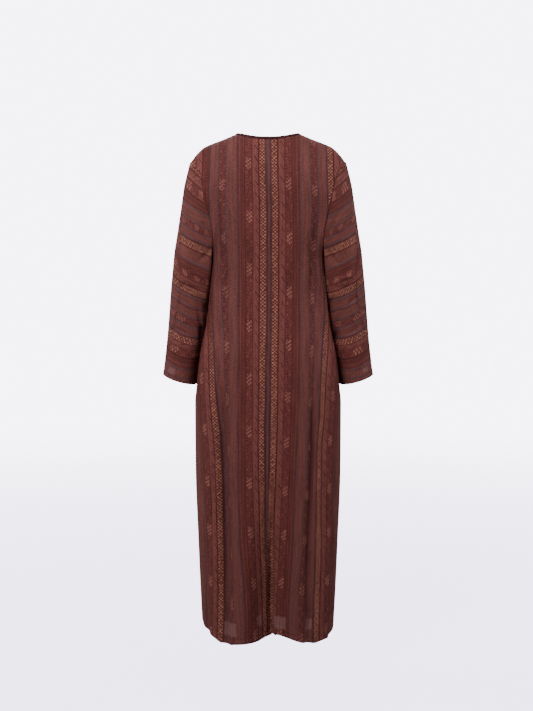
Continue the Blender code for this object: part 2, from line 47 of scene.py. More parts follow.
bodyForm = {
    "length": 1.361,  # inner end of the shoulder seam down to the hem
    "neckHalfWidth": 0.09,
    "neckDrop": {1: 0.022, -1: 0.110},  # at the back and the front
    "shoulderRounding": 0.15,  # drop below the ridge at which the cloth has its full depth
    "shoulderReach": 0.2115,  # from the centre to the tip
    "armpit": -0.335,  # its height
    "shoulderStart": -0.19,  # height where the shoulder's rows begin
    "hemLift": 0.2,  # share of its depth by which a fold lifts the hem
    # height, half width, back depth, front depth, roundness
    "sections": (
        (-1.4, 0.176, 0.137, 0.152, 2.25),
        (-1.264, 0.184, 0.134, 0.147, 2.25),
        (-1.1, 0.191, 0.13, 0.142, 2.25),
        (-0.9, 0.198, 0.127, 0.137, 2.3),
        (-0.72, 0.199, 0.124, 0.132, 2.35),
        (-0.6, 0.187, 0.119, 0.128, 2.4),
        (-0.5, 0.167, 0.109, 0.126, 2.4),
        (-0.4, 0.157, 0.104, 0.127, 2.4),
        (-0.335, 0.156, 0.105, 0.128, 2.4),
        (-0.26, 0.178, 0.108, 0.122, 2.4),
        (-0.18, 0.2, 0.107, 0.108, 2.4),
        (-0.08, 0.228, 0.098, 0.092, 2.4),
        (0.06, 0.25, 0.088, 0.082, 2.4),
    ),
    # distance from the centre, height of the shoulder ridge
    "ridge": (
        (0.0, 0.032), (0.09, 0.0), (0.12, -0.0125), (0.15, -0.024), (0.171, -0.0335),
        (0.19, -0.05), (0.203, -0.066), (0.2115, -0.079), (0.23, -0.125),
    ),
    # height, distance of the armhole seam from the centre
    "armhole": (
        (-0.335, 0.156), (-0.325, 0.1525), (-0.31, 0.149), (-0.281, 0.1475), (-0.24, 0.154),
        (-0.18, 0.1665), (-0.139, 0.176), (-0.101, 0.188), (-0.079, 0.2115), (0.06, 0.2115),
    ),
    # angle round the body in degrees, lift of the hem there
    "hemRise": {
        1: (
            (-90.0, 0.03), (-80.0, 0.02), (-74.0, 0.007), (-60.0, 0.0055), (-46.0, 0.002),
            (-34.0, 0.0095), (-20.0, 0.015), (-11.0, 0.0155), (-6.0, 0.0065), (-3.0, 0.0005),
            (10.0, 0.0), (25.0, 0.0048), (36.0, 0.003), (45.0, -0.0015), (50.0, 0.002),
            (57.0, 0.011), (65.0, 0.0185), (72.0, 0.025), (80.0, 0.042), (90.0, 0.048),
        ),
        -1: (
            (-90.0, 0.03), (-78.0, 0.016), (-50.0, 0.002), (-10.0, 0.0), (45.0, 0.004),
            (75.0, 0.03), (90.0, 0.048),
        ),
    },
    # angle at the start and at the hem, heights of start, full, fade and end, depth, widths left and right
    "folds": {
        1: (
            (-4.0, -5.0, -0.8, -1.34, -1.5, -1.6, 0.04, 38.0, 34.0),
            (-4.0, -5.0, -0.84, -1.34, -1.5, -1.6, 0.026, 30.0, 4.5),
            (57.0, 47.0, -0.12, -0.3, -0.42, -0.66, 0.008, 7.0, 8.0),
            (50.0, 46.0, -0.56, -0.9, -1.1, -1.6, 0.023, 6.5, 8.0),
            (-57.0, -50.0, -0.14, -0.28, -0.4, -0.62, 0.008, 8.0, 7.0),
            (-50.0, -44.0, -0.6, -0.88, -1.12, -1.6, 0.02, 8.0, 6.5),
            (74.0, 70.0, -0.7, -1.05, -1.5, -1.6, 0.007, 6.0, 8.0),
            (-72.0, -74.0, -0.74, -1.0, -1.5, -1.6, 0.007, 8.0, 6.0),
            (90.0, 90.0, -0.336, -0.41, -0.61, -0.73, 0.01, 13.0, 13.0),
            (-90.0, -90.0, -0.336, -0.41, -0.61, -0.73, 0.01, 13.0, 13.0),
            (74.0, 74.0, -0.35, -0.44, -0.61, -0.75, -0.005, 9.0, 12.0),
            (-74.0, -74.0, -0.35, -0.44, -0.61, -0.75, -0.005, 12.0, 9.0),
        ),
        -1: (
            (3.0, 6.0, -0.62, -1.3, -1.5, -1.6, 0.04, 24.0, 17.0),
            (-20.0, -27.0, -0.3, -0.8, -1.5, -1.6, 0.016, 9.0, 8.0),
            (26.0, 36.0, -0.32, -0.9, -1.5, -1.6, 0.018, 8.0, 10.0),
            (55.0, 58.0, -0.2, -0.7, -1.5, -1.6, 0.012, 7.0, 8.0),
            (-54.0, -57.0, -0.22, -0.6, -1.5, -1.6, 0.013, 8.0, 7.0),
            (90.0, 90.0, -0.336, -0.41, -0.61, -0.73, 0.01, 18.0, 18.0),
            (-90.0, -90.0, -0.336, -0.41, -0.61, -0.73, 0.01, 18.0, 18.0),
        ),
    },
}

sleeveForm = {
    "length": 0.57,
    "cuffTilt": math.radians(6),
    "capBlend": 0.45,  # share of the length over which the armhole's shape fades
    # share of the length, outer edge x and z, inner edge x and z, half depth, middle y
    "sections": (
        (0.0, 0.2115, -0.079, 0.156, -0.335, 0.07, 0.0),
        (0.1, 0.2265, -0.138, 0.1568, -0.372, 0.069, -0.002),
        (0.2, 0.236, -0.195, 0.1558, -0.407, 0.068, -0.005),
        (0.3, 0.2455, -0.25, 0.1562, -0.44, 0.066, -0.007),
        (0.4, 0.2545, -0.306, 0.158, -0.472, 0.065, -0.009),
        (0.5, 0.26, -0.362, 0.162, -0.503, 0.064, -0.011),
        (0.6, 0.2655, -0.418, 0.168, -0.534, 0.063, -0.013),
        (0.7, 0.27, -0.475, 0.175, -0.565, 0.062, -0.015),
        (0.8, 0.2745, -0.53, 0.1825, -0.598, 0.062, -0.017),
        (0.9, 0.281, -0.591, 0.1895, -0.635, 0.062, -0.02),
        (1.0, 0.288, -0.647, 0.1955, -0.6735, 0.062, -0.023),
    ),
    # sleeve, half, length share, turn, share gained over the turn, half length share, half turn, depth
    "folds": (
        (1, 1, 0.43, 0.76, -0.06, 0.055, 0.24, 0.006),
        (-1, 1, 0.41, 0.76, 0.07, 0.055, 0.24, 0.006),
        (1, 1, 0.62, 0.72, 0.08, 0.055, 0.26, 0.006),
        (-1, 1, 0.66, 0.72, -0.05, 0.06, 0.26, 0.005),
        (0, -1, 0.36, 0.7, 0.1, 0.06, 0.28, 0.006),
        (0, -1, 0.54, 0.64, -0.07, 0.055, 0.3, 0.008),
        (0, -1, 0.72, 0.7, 0.05, 0.055, 0.28, 0.006),
    ),
    # share of the length, how far the overarm seam is turned to the back, in degrees
    "seamTurn": ((0.0, 0.0), (0.2, 24.0), (0.35, 42.0), (0.5, 58.0), (0.62, 60.0), (0.8, 36.0), (1.0, 14.0)),
}


def smoothColumn(table, column, at):
    # a column of a table at a key, by a monotone cubic, so that nothing bulges between rows
    rows = np.asarray(table, float)
    keys, values = rows[:, 0], rows[:, column]
    step = np.diff(keys)
    slope = np.diff(values) / step
    tangent = np.concatenate([slope[:1], np.zeros(len(keys) - 2), slope[-1:]])
    inner = slope[:-1] * slope[1:] > 0
    before, after = 2 * step[1:] + step[:-1], step[1:] + 2 * step[:-1]
    with np.errstate(divide="ignore", invalid="ignore"):
        mean = (before + after) / (before / slope[:-1] + after / slope[1:])
    tangent[1:-1][inner] = mean[inner]
    at = np.clip(at, keys[0], keys[-1])
    i = np.clip(np.searchsorted(keys, at, side="right") - 1, 0, len(keys) - 2)
    t = (at - keys[i]) / step[i]
    rise = (3 - 2 * t) * t * t * (values[i + 1] - values[i])
    return values[i] + rise + step[i] * t * (1 - t) * ((1 - t) * tangent[i] - t * tangent[i + 1])


def ramp(x, start, end):
    t = np.clip((x - start) / (end - start), 0, 1)
    return t * t * (3 - 2 * t)


def unitOf(vectors):
    return vectors / np.maximum(np.linalg.norm(vectors, axis=-1, keepdims=True), 1e-15)


def bodyRing(z, face):
    table = bodyForm["sections"]
    return smoothColumn(table, 1, z), smoothColumn(table, 2 if face > 0 else 3, z), smoothColumn(table, 4, z)


def angleAt(x, z, face):
    width, depth, power = bodyRing(z, face)
    return np.arctan2(x, depth * np.clip(1 - (x / width) ** power, 0, 1) ** (1 / power))


def edgeAngle(z, face):
    inArmhole = angleAt(smoothColumn(bodyForm["armhole"], 1, z), z, face)
    return np.where(z > bodyForm["armpit"], inArmhole, math.pi / 2)


def topEdge(reach, face):
    half = bodyForm["neckHalfWidth"]
    neck = -bodyForm["neckDrop"][face] * (1 - (reach / half) ** 2)
    return np.where(reach < half, neck, smoothColumn(bodyForm["ridge"], 1, reach))


def foldDepth(face, angle, z):
    depth = np.zeros(np.broadcast(angle, z).shape)
    for startAngle, hemAngle, start, full, fade, end, deepest, left, right in bodyForm["folds"][face]:
        middle = startAngle + (hemAngle - startAngle) * ramp(-z, -start, bodyForm["length"])
        away = angle - middle
        across = np.clip(np.abs(away) / np.where(away > 0, left, right), 0, 1)
        along = ramp(-z, -start, -full) * (1 - ramp(-z, -fade, -end))
        depth = depth + deepest * along * np.cos(across * math.pi / 2) ** 2
    return depth


def clothAt(angle, z, face):
    # the body's cloth at an angle round it, negative on the right, and a height
    width, depth, power = bodyRing(z, face)
    side, sin, cos = np.where(angle < 0, -1.0, 1.0), np.sin(np.abs(angle)), np.cos(angle)
    radius = ((sin / width) ** power + (np.abs(cos) / depth) ** power) ** (-1 / power)
    x, y = radius * sin, radius * cos
    outX, outY = (x / width) ** (power - 1) / width, (np.abs(y) / depth) ** (power - 1) / depth
    drop = np.clip((smoothColumn(bodyForm["ridge"], 1, x) - z) / bodyForm["shoulderRounding"], 0, 1)
    y = y * np.sqrt(np.clip(1 - (1 - drop) ** 2, 0, 1))
    inward = foldDepth(face, np.degrees(angle), z) / np.hypot(outX, outY)
    return np.stack([side * (x - inward * outX), face * (y - inward * outY), z], -1)


def placeOnBody(reach, rise, face):
    # rise runs from 0 at the hem through 1 at the armpit and 2 where the shoulder begins to 3 at the top
    reach, rise = np.broadcast_arrays(np.asarray(reach, float), np.asarray(rise, float))
    side, reach = np.where(reach < 0, -1.0, 1.0), np.abs(reach)
    top, pit, start = topEdge(reach, face), bodyForm["armpit"], bodyForm["shoulderStart"]
    turn = angleAt(reach, top, face) / edgeAngle(top, face)
    hemAngle = 90 * turn * side
    hem = np.full(turn.shape, -bodyForm["length"])
    hem = hem + bodyForm["hemLift"] * foldDepth(face, hemAngle, hem)
    hem = hem + smoothColumn(bodyForm["hemRise"][face], 1, hemAngle)
    skirt = hem + (pit - hem) * np.clip(rise, 0, 1)
    chest = pit + (start - pit) * np.clip(rise - 1, 0, 1) ** 2
    shoulder = top - (top - start) * (1 - np.sin(np.clip(rise - 2, 0, 1) * math.pi / 2))
    z = np.where(rise <= 1, skirt, np.where(rise <= 2, chest, shoulder))
    return side * turn * edgeAngle(z, face), z


def bodyCloth(reach, rise, face):
    return clothAt(*placeOnBody(reach, rise, face), face)


def sleeveRing(along, turn, half):
    # turn runs from 0 at the overarm seam to 1 at the underarm seam
    outerX, outerZ, innerX, innerZ, depth, middleY = (
        smoothColumn(sleeveForm["sections"], column, along) for column in range(1, 7)
    )
    seam = half * np.radians(smoothColumn(sleeveForm["seamTurn"], 1, along))
    angle = seam + turn * (math.pi - seam)
    tilt = sleeveForm["cuffTilt"] * along
    across, out = np.cos(angle), half * depth * np.sin(angle)
    x = (outerX + innerX) / 2 + (outerX - innerX) / 2 * across
    z = (outerZ + innerZ) / 2 + (outerZ - innerZ) / 2 * across - out * np.sin(tilt)
    return np.stack([x, middleY + out * np.cos(tilt), z], -1)


def armholeSeam(turn, half):
    return bodyCloth(bodyForm["shoulderReach"], 3 - 2 * turn, half)


def sleeveCloth(along, turn, half, mirror):
    along, turn = np.broadcast_arrays(np.asarray(along, float), np.asarray(turn, float))
    start = sleeveRing(np.zeros_like(along), turn, half)
    fade = (1 - ramp(along, 0, sleeveForm["capBlend"]))[..., None]
    points = sleeveRing(along, turn, half) + fade * (armholeSeam(turn, half) - start)
    middle = (sleeveRing(along, 0 * turn, half) + sleeveRing(along, 0 * turn + 1, half)) / 2
    for foldSide, foldHalf, at, foldTurn, gain, halfLength, halfTurn, depth in sleeveForm["folds"]:
        if foldHalf != half or foldSide not in (0, mirror):
            continue
        across = np.clip(np.abs(along - at - gain * (turn - foldTurn)) / halfLength, 0, 1)
        reach = np.clip(np.abs(turn - foldTurn) / halfTurn, 0, 1)
        push = depth * np.cos(across * math.pi / 2) ** 2 * np.cos(reach * math.pi / 2) ** 2
        points = points + push[..., None] * unitOf(middle - points)
    return points * np.array([mirror, 1, 1])


# What every piece of cloth shares

cloth = {
    "thickness": 0.0007,
    "skirtStep": 0.0052,  # grid spacing on the body
    "sleeveStep": 0.0038,
    "hemRows": (0, 0.003, 0.006, 0.0095, 0.0115, 0.0130, 0.0145, 0.018),  # rows just above the hem or cuff
    "capRows": (0, 0.0010, 0.0020, 0.0034, 0.0050, 0.0072),  # rows just below the armhole
    "seamSpots": (0.0009, 0.0020, 0.0034, 0.0050, 0.0072, 0.0100),  # extra columns beside a seam
    "turnRows": (0.013, 0.0095, 0.006, 0.0025),  # rows inside the turn-up, the first at its full allowance
    "turnRadius": 0.0008,
    "turnAngles": (180, 135, 90, 45),  # rows round the fold of the turn-up
    # depth of the groove at a seam, its spread, and the ridge of the allowances: height, place and spread
    "seamDip": (0.0007, 0.0011),
    "seamRidge": 0.0011,
    "ridgePlace": (0.0036, 0.0021),
    # the turn-up shows as a step between two heights, with the stitches' groove in it: height, spread, depth
    "hemStep": (0.0105, 0.0125, 0.0003),
    "hemGroove": (0.0115, 0.0011, 0.0005),
}


def normalsOf(points, face):
    # normals over a grid of points, turned to the back (1) or to the front (-1)
    along, across = np.gradient(points, axis=0), np.gradient(points, axis=1)
    normals = unitOf(np.cross(along, across))
    return normals * np.sign(face * normals[..., 1].sum())


def runAlong(points, axis):
    # distance along the rows (axis 0) or columns (axis 1) of a grid, from its first point
    steps = np.linalg.norm(np.diff(points, axis=axis), axis=-1)
    start = np.zeros_like(np.take(steps, [0], axis=axis))
    return np.concatenate([start, np.cumsum(steps, axis=axis)], axis=axis)


def clothArea(points):
    # both triangles of every cell
    across, along = np.diff(points, axis=1), np.diff(points, axis=0)
    corners = (across[:-1], along[:, :-1]), (across[1:], along[:, 1:])
    return sum(np.linalg.norm(np.cross(a, b), axis=-1).sum() / 2 for a, b in corners)


def bell(distance, spread):
    return np.exp(-((distance / spread) ** 2))


def creased(points, normals, creases):
    # soft troughs (or ridges, where the depth is negative) laid over the cloth along bowed lines.
    # A row is: x and z of both ends, bow to the side, half width, depth
    push = np.zeros(points.shape[:2])
    for startX, startZ, endX, endZ, bow, halfWidth, depth in np.array(creases) / 1000:
        run = np.array([endX - startX, endZ - startZ])
        size = np.hypot(*run)
        run = run / size
        x, z = points[..., 0] - startX, points[..., 2] - startZ
        t = (x * run[0] + z * run[1]) / size
        off = x * run[1] - z * run[0] - bow * 4 * t * (1 - t)
        across = np.cos(np.clip(np.abs(off) / halfWidth, 0, 1) * math.pi / 2) ** 2
        along = np.where((t > 0) & (t < 1), np.sin(np.clip(t, 0, 1) * math.pi) ** 0.8, 0)
        push += depth * across * along
    return points - push[..., None] * normals


def seamProfile(distance, ridge):
    # how far the cloth stands out at a distance from a seam
    dip, dipSpread = cloth["seamDip"]
    place, spread = cloth["ridgePlace"]
    return ridge * bell(distance - place, spread) - dip * bell(distance, dipSpread)


def turnedUp(points, normals, uvs):
    # rows added below the first one: the cloth turns round the hem and runs up inside
    radius = cloth["turnRadius"]
    down = unitOf(points[0] - points[1])
    up = runAlong(points, 0)
    column = np.arange(points.shape[1])
    rows, rowUvs = [], []
    for height in cloth["turnRows"]:
        share = np.array([np.interp(height, up[:, i], np.arange(len(up))) for i in column])
        low = np.floor(share).astype(int)
        part = (share - low)[:, None]
        place = points[low, column] * (1 - part) + points[low + 1, column] * part
        normal = unitOf(normals[low, column] * (1 - part) + normals[low + 1, column] * part)
        rows.append(place - normal * 2 * radius)
        rowUvs.append(uvs[0] + np.array([0, 2 * radius + height]))
    for lean in np.radians(cloth["turnAngles"]):
        around = normals[0] * math.cos(lean) + down * math.sin(lean)
        rows.append(points[0] - normals[0] * radius + around * radius)
        rowUvs.append(uvs[0] + np.array([0, radius * lean / 2]))
    return np.concatenate([np.array(rows), points]), np.concatenate([np.array(rowUvs), uvs])


def asPiece(name, mesh, material):
    # the finished bmesh as an object of the scene
    data = bpy.data.meshes.new(name)
    mesh.to_mesh(data)
    mesh.free()
    data.materials.append(material)
    piece = bpy.data.objects.new(name, data)
    bpy.context.scene.collection.objects.link(piece)
    return piece


def makeCloth(name, points, uvs, outward, material, closed=False, thickness=cloth["thickness"]):
    # a grid of faces moved onto the points, with its own map in metres of cloth
    rows, columns = points.shape[:2]
    mesh = bmesh.new()
    bmesh.ops.create_grid(mesh, x_segments=columns - 1, y_segments=rows - 1, size=1)
    cell = {
        vertex: (round((vertex.co.y + 1) / 2 * (rows - 1)), round((vertex.co.x + 1) / 2 * (columns - 1)))
        for vertex in mesh.verts
    }
    for vertex, spot in cell.items():
        vertex.co = points[spot]
    layer = mesh.loops.layers.uv.new("cloth")
    for face in mesh.faces:
        for loop in face.loops:
            loop[layer].uv = uvs[cell[loop.vert]]
    mesh.normal_update()
    if sum(Vector(outward[cell[face.verts[0]]]).dot(face.normal) for face in mesh.faces) < 0:
        bmesh.ops.reverse_faces(mesh, faces=mesh.faces)
    if closed:
        bmesh.ops.remove_doubles(mesh, verts=mesh.verts, dist=1e-6)
    piece = asPiece(name, mesh, material)
    piece.data.shade_smooth()
    wall = piece.modifiers.new("wall", "SOLIDIFY")
    wall.thickness, wall.offset = thickness, -1
    return piece


# The materials' tools


def colourOf(code):
    # sRGB hex to the linear values that Blender takes
    parts = [int(code[i : i + 2], 16) / 255 for i in (1, 3, 5)]
    return [p / 12.92 if p <= 0.04045 else ((p + 0.055) / 1.055) ** 2.4 for p in parts] + [1.0]


def fill(node, inputs):
    # links each socket to the output given for it, or sets its value
    for socket, value in inputs.items():
        if isinstance(value, bpy.types.NodeSocket):
            node.id_data.links.new(value, node.inputs[socket])
        else:
            node.inputs[socket].default_value = value


def addNode(tree, kind, *values, out=0, **settings):
    # adds a node and gives one of its outputs. A kind in capitals is an operation of the Math node.
    # The values go to its sockets in order, or to those that a dictionary names
    if kind.isupper():
        kind, settings = "Math", {"operation": kind}
    node = tree.nodes.new("ShaderNode" + kind)
    for key, value in settings.items():
        setattr(node, key, value)
    fill(node, values[0] if values and isinstance(values[0], dict) else dict(enumerate(values)))
    return node.outputs[out]


def startMaterial(name):
    # a new material, its shader, and the function that adds nodes to it
    material = bpy.data.materials.new(name)
    material.use_nodes = True
    tree = material.node_tree
    return material, tree.nodes["Principled BSDF"], partial(addNode, tree)


# The woven cloth

jacquard = {
    "start": 0.004,  # where the chart begins across the stripes
    "repeat": 0.149,  # its width
    "motifRepeat": 0.1386,  # between two medallions
    # start of each band across the cloth, its ground colour
    "bands": (
        (0.0040, "#5f302e"),  # maroon line
        (0.0086, "#602a29"),  # under the gold lattice
        (0.0234, "#592726"),
        (0.0272, "#753f3b"),  # rope
        (0.0408, "#5f302e"),
        (0.0425, "#683231"),  # medallions
        (0.0622, "#592726"),
        (0.0645, "#683331"),  # pinstripes
        (0.0828, "#65454a"),  # slate line
        (0.0862, "#723f3a"),  # brown
        (0.1066, "#65454a"),
        (0.1100, "#633130"),  # small medallions
        (0.1303, "#65454a"),
        (0.1337, "#713c39"),  # brown
        (0.1492, "#65454a"),
    ),
    # middle and half width of the parts that carry a pattern
    "pinstripes": (0.0735, 0.0090),
    "brown": ((0.0964, 0.0092), (0.1414, 0.0072)),
    "lattice": (0.0160, 0.0072),
    "rope": (0.0340, 0.0068),
    "figured": ((0.0523, 0.0086), (0.1200, 0.0088)),
    "smallFrom": 0.09,  # beyond this the figured band is the one with small medallions
    "medallion": (0.0072, 0.0150),  # half width and half height
    "medallionCorner": (0.6, 0.0138),  # how steeply its corners are cut, and how far out
    "slash": (0.0024, 0.0043),  # distance from the rope's middle, half width
    "outerFrom": 0.10,  # beyond this lies the outer gold stripe
    "outerFade": (0.34, 0.60),  # between these, up from the hem, it comes to its full strength
    # colour of each thread as it lies over the ground
    "threads": {
        "gold": "#c0816d",
        # the rope's paler thread, also laid on as the painted highlight of its strands
        "rope": "#93524e",
        "slash": "#431818",
        "curl": "#8a4b46",
        "fleck": "#89504c",
        "medallion": "#af6f61",
        "pinstripe": "#7b423d",
        # not a thread: the painted light that comes through the thin panes near the hem and cuffs
        "paintedLightThrough": "#946968",
    },
    "sheen": "#d8a898",
    # periods of the waves that draw the figures, as coarse as they need to be to show
    "pinSpacing": (0.0053, 0.0121),  # both across
    "fleckSpacing": (0.0078, 0.0082),  # across and along, with two flecks in each
    "latticeSpacing": (0.0088, 0.0086),  # across and along, with two dots in each
    "slashSpacing": 0.032,
    "plySpacing": 0.0058,
    "curlSpacing": (0.019, 0.020, 0.0125),  # across, along, along
    "dotSpacing": (0.0096, 0.0104),  # across and along, with two dots in each
    "threadSpacing": (0.0015, 0.0015),
    # how unevenly it is woven and worn: patches to a metre, detail, squeeze down the warp
    "noises": {
        "wander": (160.0, 1.0, 1.0),  # yarns that stray, 6 mm
        "patch": (40.0, 2.0, 1.0),  # figures that show more or less, 25 mm
        "glint": (150.0, 1.0, 1.0),  # gold thread that catches the light, 7 mm
        "streaks": (210.0, 2.0, 0.05),  # slubs down the warp, 5 mm wide and 95 mm long
        "picks": (95.0, 2.0, 2.6),  # slubs along the weft, 11 mm long and 4 mm high
        "grain": (240.0, 1.0, 1.0),  # 4 mm
        "fading": (9.0, 3.0, 1.0),  # wear all over, 110 mm
    },
}


def jacquardCloth(
    name, side, medallion, smallMedallion, runs=(), spacing=jacquard["motifRepeat"], windows=(), lowGold=1.0
):
    # Cotton and viscose jacquard: a matt cloth, with gold and slate threads floated over a maroon ground.
    # The side is 1 where the chart runs to the left of the picture and -1 where it runs to the right.
    material, shader, add = startMaterial(name)
    place = add("UVMap", uv_map="cloth")
    across, along = add("SeparateXYZ", place).node.outputs[:2]
    noise = {}
    for key, (fineness, detail, squeeze) in jacquard["noises"].items():
        spot = place if squeeze == 1 else add("Mapping", {"Vector": place, "Scale": (1.0, squeeze, 1.0)})
        noise[key] = add("TexNoise", {"Vector": spot, "Scale": fineness, "Detail": detail})
    layers = []  # how strongly each thread shows, from the lowest one up

    def wave(value, period):
        return add("SINE", add("MULTIPLY", value, 2 * math.pi / period))

    def checked(first, second, spacing):
        # above 0 on every other cell of a grid
        periods = jacquard[spacing]
        return add("MULTIPLY", wave(first, periods[0]), wave(second, periods[1]))

    # yarns wander a little, so no edge between two bands is dead straight
    chart = add("MULTIPLY_ADD", noise["wander"], 0.0010, add("SUBTRACT", across, 0.0005))
    for start, at, direction in runs:
        run = add("MULTIPLY_ADD", add("SUBTRACT", across, start), direction, at)
        past = add("GREATER_THAN", across, start)
        chart = add("Mix", {0: past, 2: chart, 3: run}, data_type="FLOAT")
    low, repeat = jacquard["start"], jacquard["repeat"]
    chart = add("WRAP", chart, low + repeat, low)

    colour = add("ValToRGB", add("DIVIDE", add("SUBTRACT", chart, low), repeat))
    ground = colour.node.color_ramp
    ground.interpolation = "CONSTANT"
    for i, (start, code) in enumerate(jacquard["bands"]):
        at = (start - low) / repeat
        stop = ground.elements[i] if i < 2 else ground.elements.new(at)
        stop.position, stop.color = at, colourOf(code)

    # pinstripes, drawn 5.3 mm apart where the real ones are at most half that, stronger and weaker by turns
    fine, coarse = (wave(chart, period) for period in jacquard["pinSpacing"])
    pins = add("MULTIPLY_ADD", fine, 0.6, add("MULTIPLY", coarse, 0.5))
    pins = add("MULTIPLY", add("MAXIMUM", pins, 0.0), add("COMPARE", chart, *jacquard["pinstripes"]))
    layers.append(("pinstripe", add("MULTIPLY", pins, 0.95)))

    # flecks on the brown bands, drawn 4 mm apart where the real ones are at most half that
    fleck = add("GREATER_THAN", checked(chart, along, "fleckSpacing"), 0.1)
    brown = add("ADD", *(add("COMPARE", chart, *band) for band in jacquard["brown"]))
    layers.append(("fleck", add("MULTIPLY", add("MULTIPLY", fleck, brown), 0.62)))

    # gold lattice: dots drawn 4.3 mm apart where the real ones are at most half that, brighter along
    # crossing lines
    middle, half = jacquard["lattice"]
    inGold = add("SUBTRACT", chart, middle)
    dots = checked(add("ADD", inGold, 0.0022), along, "latticeSpacing")
    gold = add("MULTIPLY", add("GREATER_THAN", dots, 0.0), add("COMPARE", inGold, 0.0, half))
    cross = add("PINGPONG", along, jacquard["latticeSpacing"][1])
    cross = add("SUBTRACT", add("ABSOLUTE", inGold), cross)
    cross = add("LESS_THAN", add("ABSOLUTE", cross), 0.0024)
    gold = add("MULTIPLY", gold, add("MULTIPLY_ADD", cross, 0.42, 0.42))
    gold = add("MULTIPLY", gold, add("MULTIPLY_ADD", noise["patch"], 1.2, 0.4))
    # its thread glints here and there, and the outer stripe fades towards the hem on the left
    glint = add("MULTIPLY_ADD", noise["glint"], 3.2, -0.6)
    gold = add("MULTIPLY", gold, add("MAXIMUM", glint, 0.15))
    fade = add("MapRange", along, *jacquard["outerFade"], lowGold, 1.0)
    outer = add("GREATER_THAN", across, jacquard["outerFrom"])
    gold = add("MULTIPLY", gold, add("Mix", {0: outer, 2: 1.0, 3: fade}, data_type="FLOAT"))
    layers.append(("gold", gold))

    # rope: a raised cord of slanting strands in a paler thread, with painted highlight on the middle of each
    # strand and faint painted shade along its plies, and a dark slash between them every 32 mm, on its right
    # part
    middle, half = jacquard["rope"]
    inRope = add("MULTIPLY", add("SUBTRACT", chart, middle), side)
    slant = add("MULTIPLY_ADD", inRope, 1.6, along)
    strand = add("FRACT", add("DIVIDE", slant, jacquard["slashSpacing"]))
    inside = add("COMPARE", chart, middle, half)
    # painted highlight: each strand painted lighter in its middle
    paintedStrandHighlight = add("MULTIPLY", inside, add("SINE", add("MULTIPLY", strand, math.pi)))
    # painted shade: faint lighter and darker stripes along the plies
    paintedPlyShade = wave(add("MULTIPLY_ADD", along, 0.30, inRope), jacquard["plySpacing"])
    light = add("MULTIPLY", inside, add("MULTIPLY_ADD", paintedPlyShade, 0.22, 0.30))
    layers.append(("rope", add("MULTIPLY_ADD", paintedStrandHighlight, 0.18, light)))
    between = add("ABSOLUTE", add("SUBTRACT", strand, 0.5))
    relief = add("MULTIPLY", inside, between)
    off, half = jacquard["slash"]
    slash = add("COMPARE", chart, middle - off * side, half)
    slash = add("MULTIPLY", add("LESS_THAN", between, 0.080), slash)
    layers.append(("slash", add("MULTIPLY", slash, add("MULTIPLY_ADD", noise["patch"], 1.0, 0.15))))

    # faint curls down the two figured bands, and a medallion of dots on each
    first, second = jacquard["figured"]
    small = add("GREATER_THAN", chart, jacquard["smallFrom"])
    inBand = add("SUBTRACT", chart, add("MULTIPLY_ADD", small, second[0] - first[0], first[0]))
    band = add("MAXIMUM", add("COMPARE", chart, *first), add("COMPARE", chart, *second))
    sway, turn, beat = jacquard["curlSpacing"]
    curl = add("MULTIPLY_ADD", wave(inBand, sway), 2.2, add("MULTIPLY", along, 2 * math.pi / turn))
    curl = add("ADD", add("SINE", curl), add("MULTIPLY", wave(along, beat), 0.6))
    curl = add("MULTIPLY", add("LESS_THAN", add("ABSOLUTE", curl), 0.36), band)
    uneven = add("MULTIPLY_ADD", noise["patch"], 0.9, 0.28)
    layers.append(("curl", add("MULTIPLY", curl, uneven)))
    offset = add("MULTIPLY_ADD", small, smallMedallion - medallion, medallion)
    down = add("WRAP", add("SUBTRACT", along, offset), spacing / 2, -spacing / 2)
    halfWidth, halfHeight = jacquard["medallion"]
    steep, reach = jacquard["medallionCorner"]
    body = add("COMPARE", inBand, 0.0, halfWidth)
    body = add("MULTIPLY", body, add("COMPARE", down, 0.0, halfHeight))
    corner = add("ADD", add("ABSOLUTE", inBand), add("MULTIPLY", add("ABSOLUTE", down), steep))
    body = add("MULTIPLY", body, add("LESS_THAN", corner, reach))
    # its dots are drawn 5 mm apart, in rows that lean
    lean = add("MULTIPLY_ADD", inBand, 0.35 * side, down)
    dots = checked(add("ADD", inBand, 0.0024), lean, "dotSpacing")
    dots = add("MULTIPLY", add("GREATER_THAN", dots, 0.08), add("MULTIPLY", body, band))
    layers.append(("medallion", add("MULTIPLY", dots, add("MULTIPLY_ADD", small, -0.18, uneven))))

    for thread, strength in layers:
        over = colourOf(jacquard["threads"][thread])
        colour = add("Mix", {0: strength, 6: colour, 7: over}, out=2, data_type="RGBA")

    # slubs along and across the yarns, fine streaks down the warp, then a soft fading all over
    value = add("ADD", add("MULTIPLY", noise["streaks"], 0.98), add("MULTIPLY", noise["picks"], 0.56))
    soft = add("MULTIPLY_ADD", noise["fading"], 0.22, -0.24)
    value = add("ADD", value, add("MULTIPLY_ADD", noise["grain"], 0.74, soft))
    colour = add("HueSaturation", {"Value": value, "Color": colour})

    # near its hem the cloth has a few thin panes, painted paler as painted light that comes through them
    for left, right, bottom, top in windows:
        aside = add("ABSOLUTE", add("SUBTRACT", across, (left + right) / 2))
        away = add("ABSOLUTE", add("SUBTRACT", along, (bottom + top) / 2))
        depth = add("SUBTRACT", (right - left) / 2, aside)
        depth = add("MINIMUM", depth, add("SUBTRACT", (top - bottom) / 2, away))
        pane = add("MapRange", add("MULTIPLY_ADD", noise["picks"], 0.006, depth), 0.001, 0.006)
        pane = add("MULTIPLY", pane, add("MULTIPLY_ADD", noise["streaks"], 0.9, 0.15))
        over = colourOf(jacquard["threads"]["paintedLightThrough"])
        colour = add("Mix", {0: pane, 6: colour, 7: over}, out=2, data_type="RGBA")

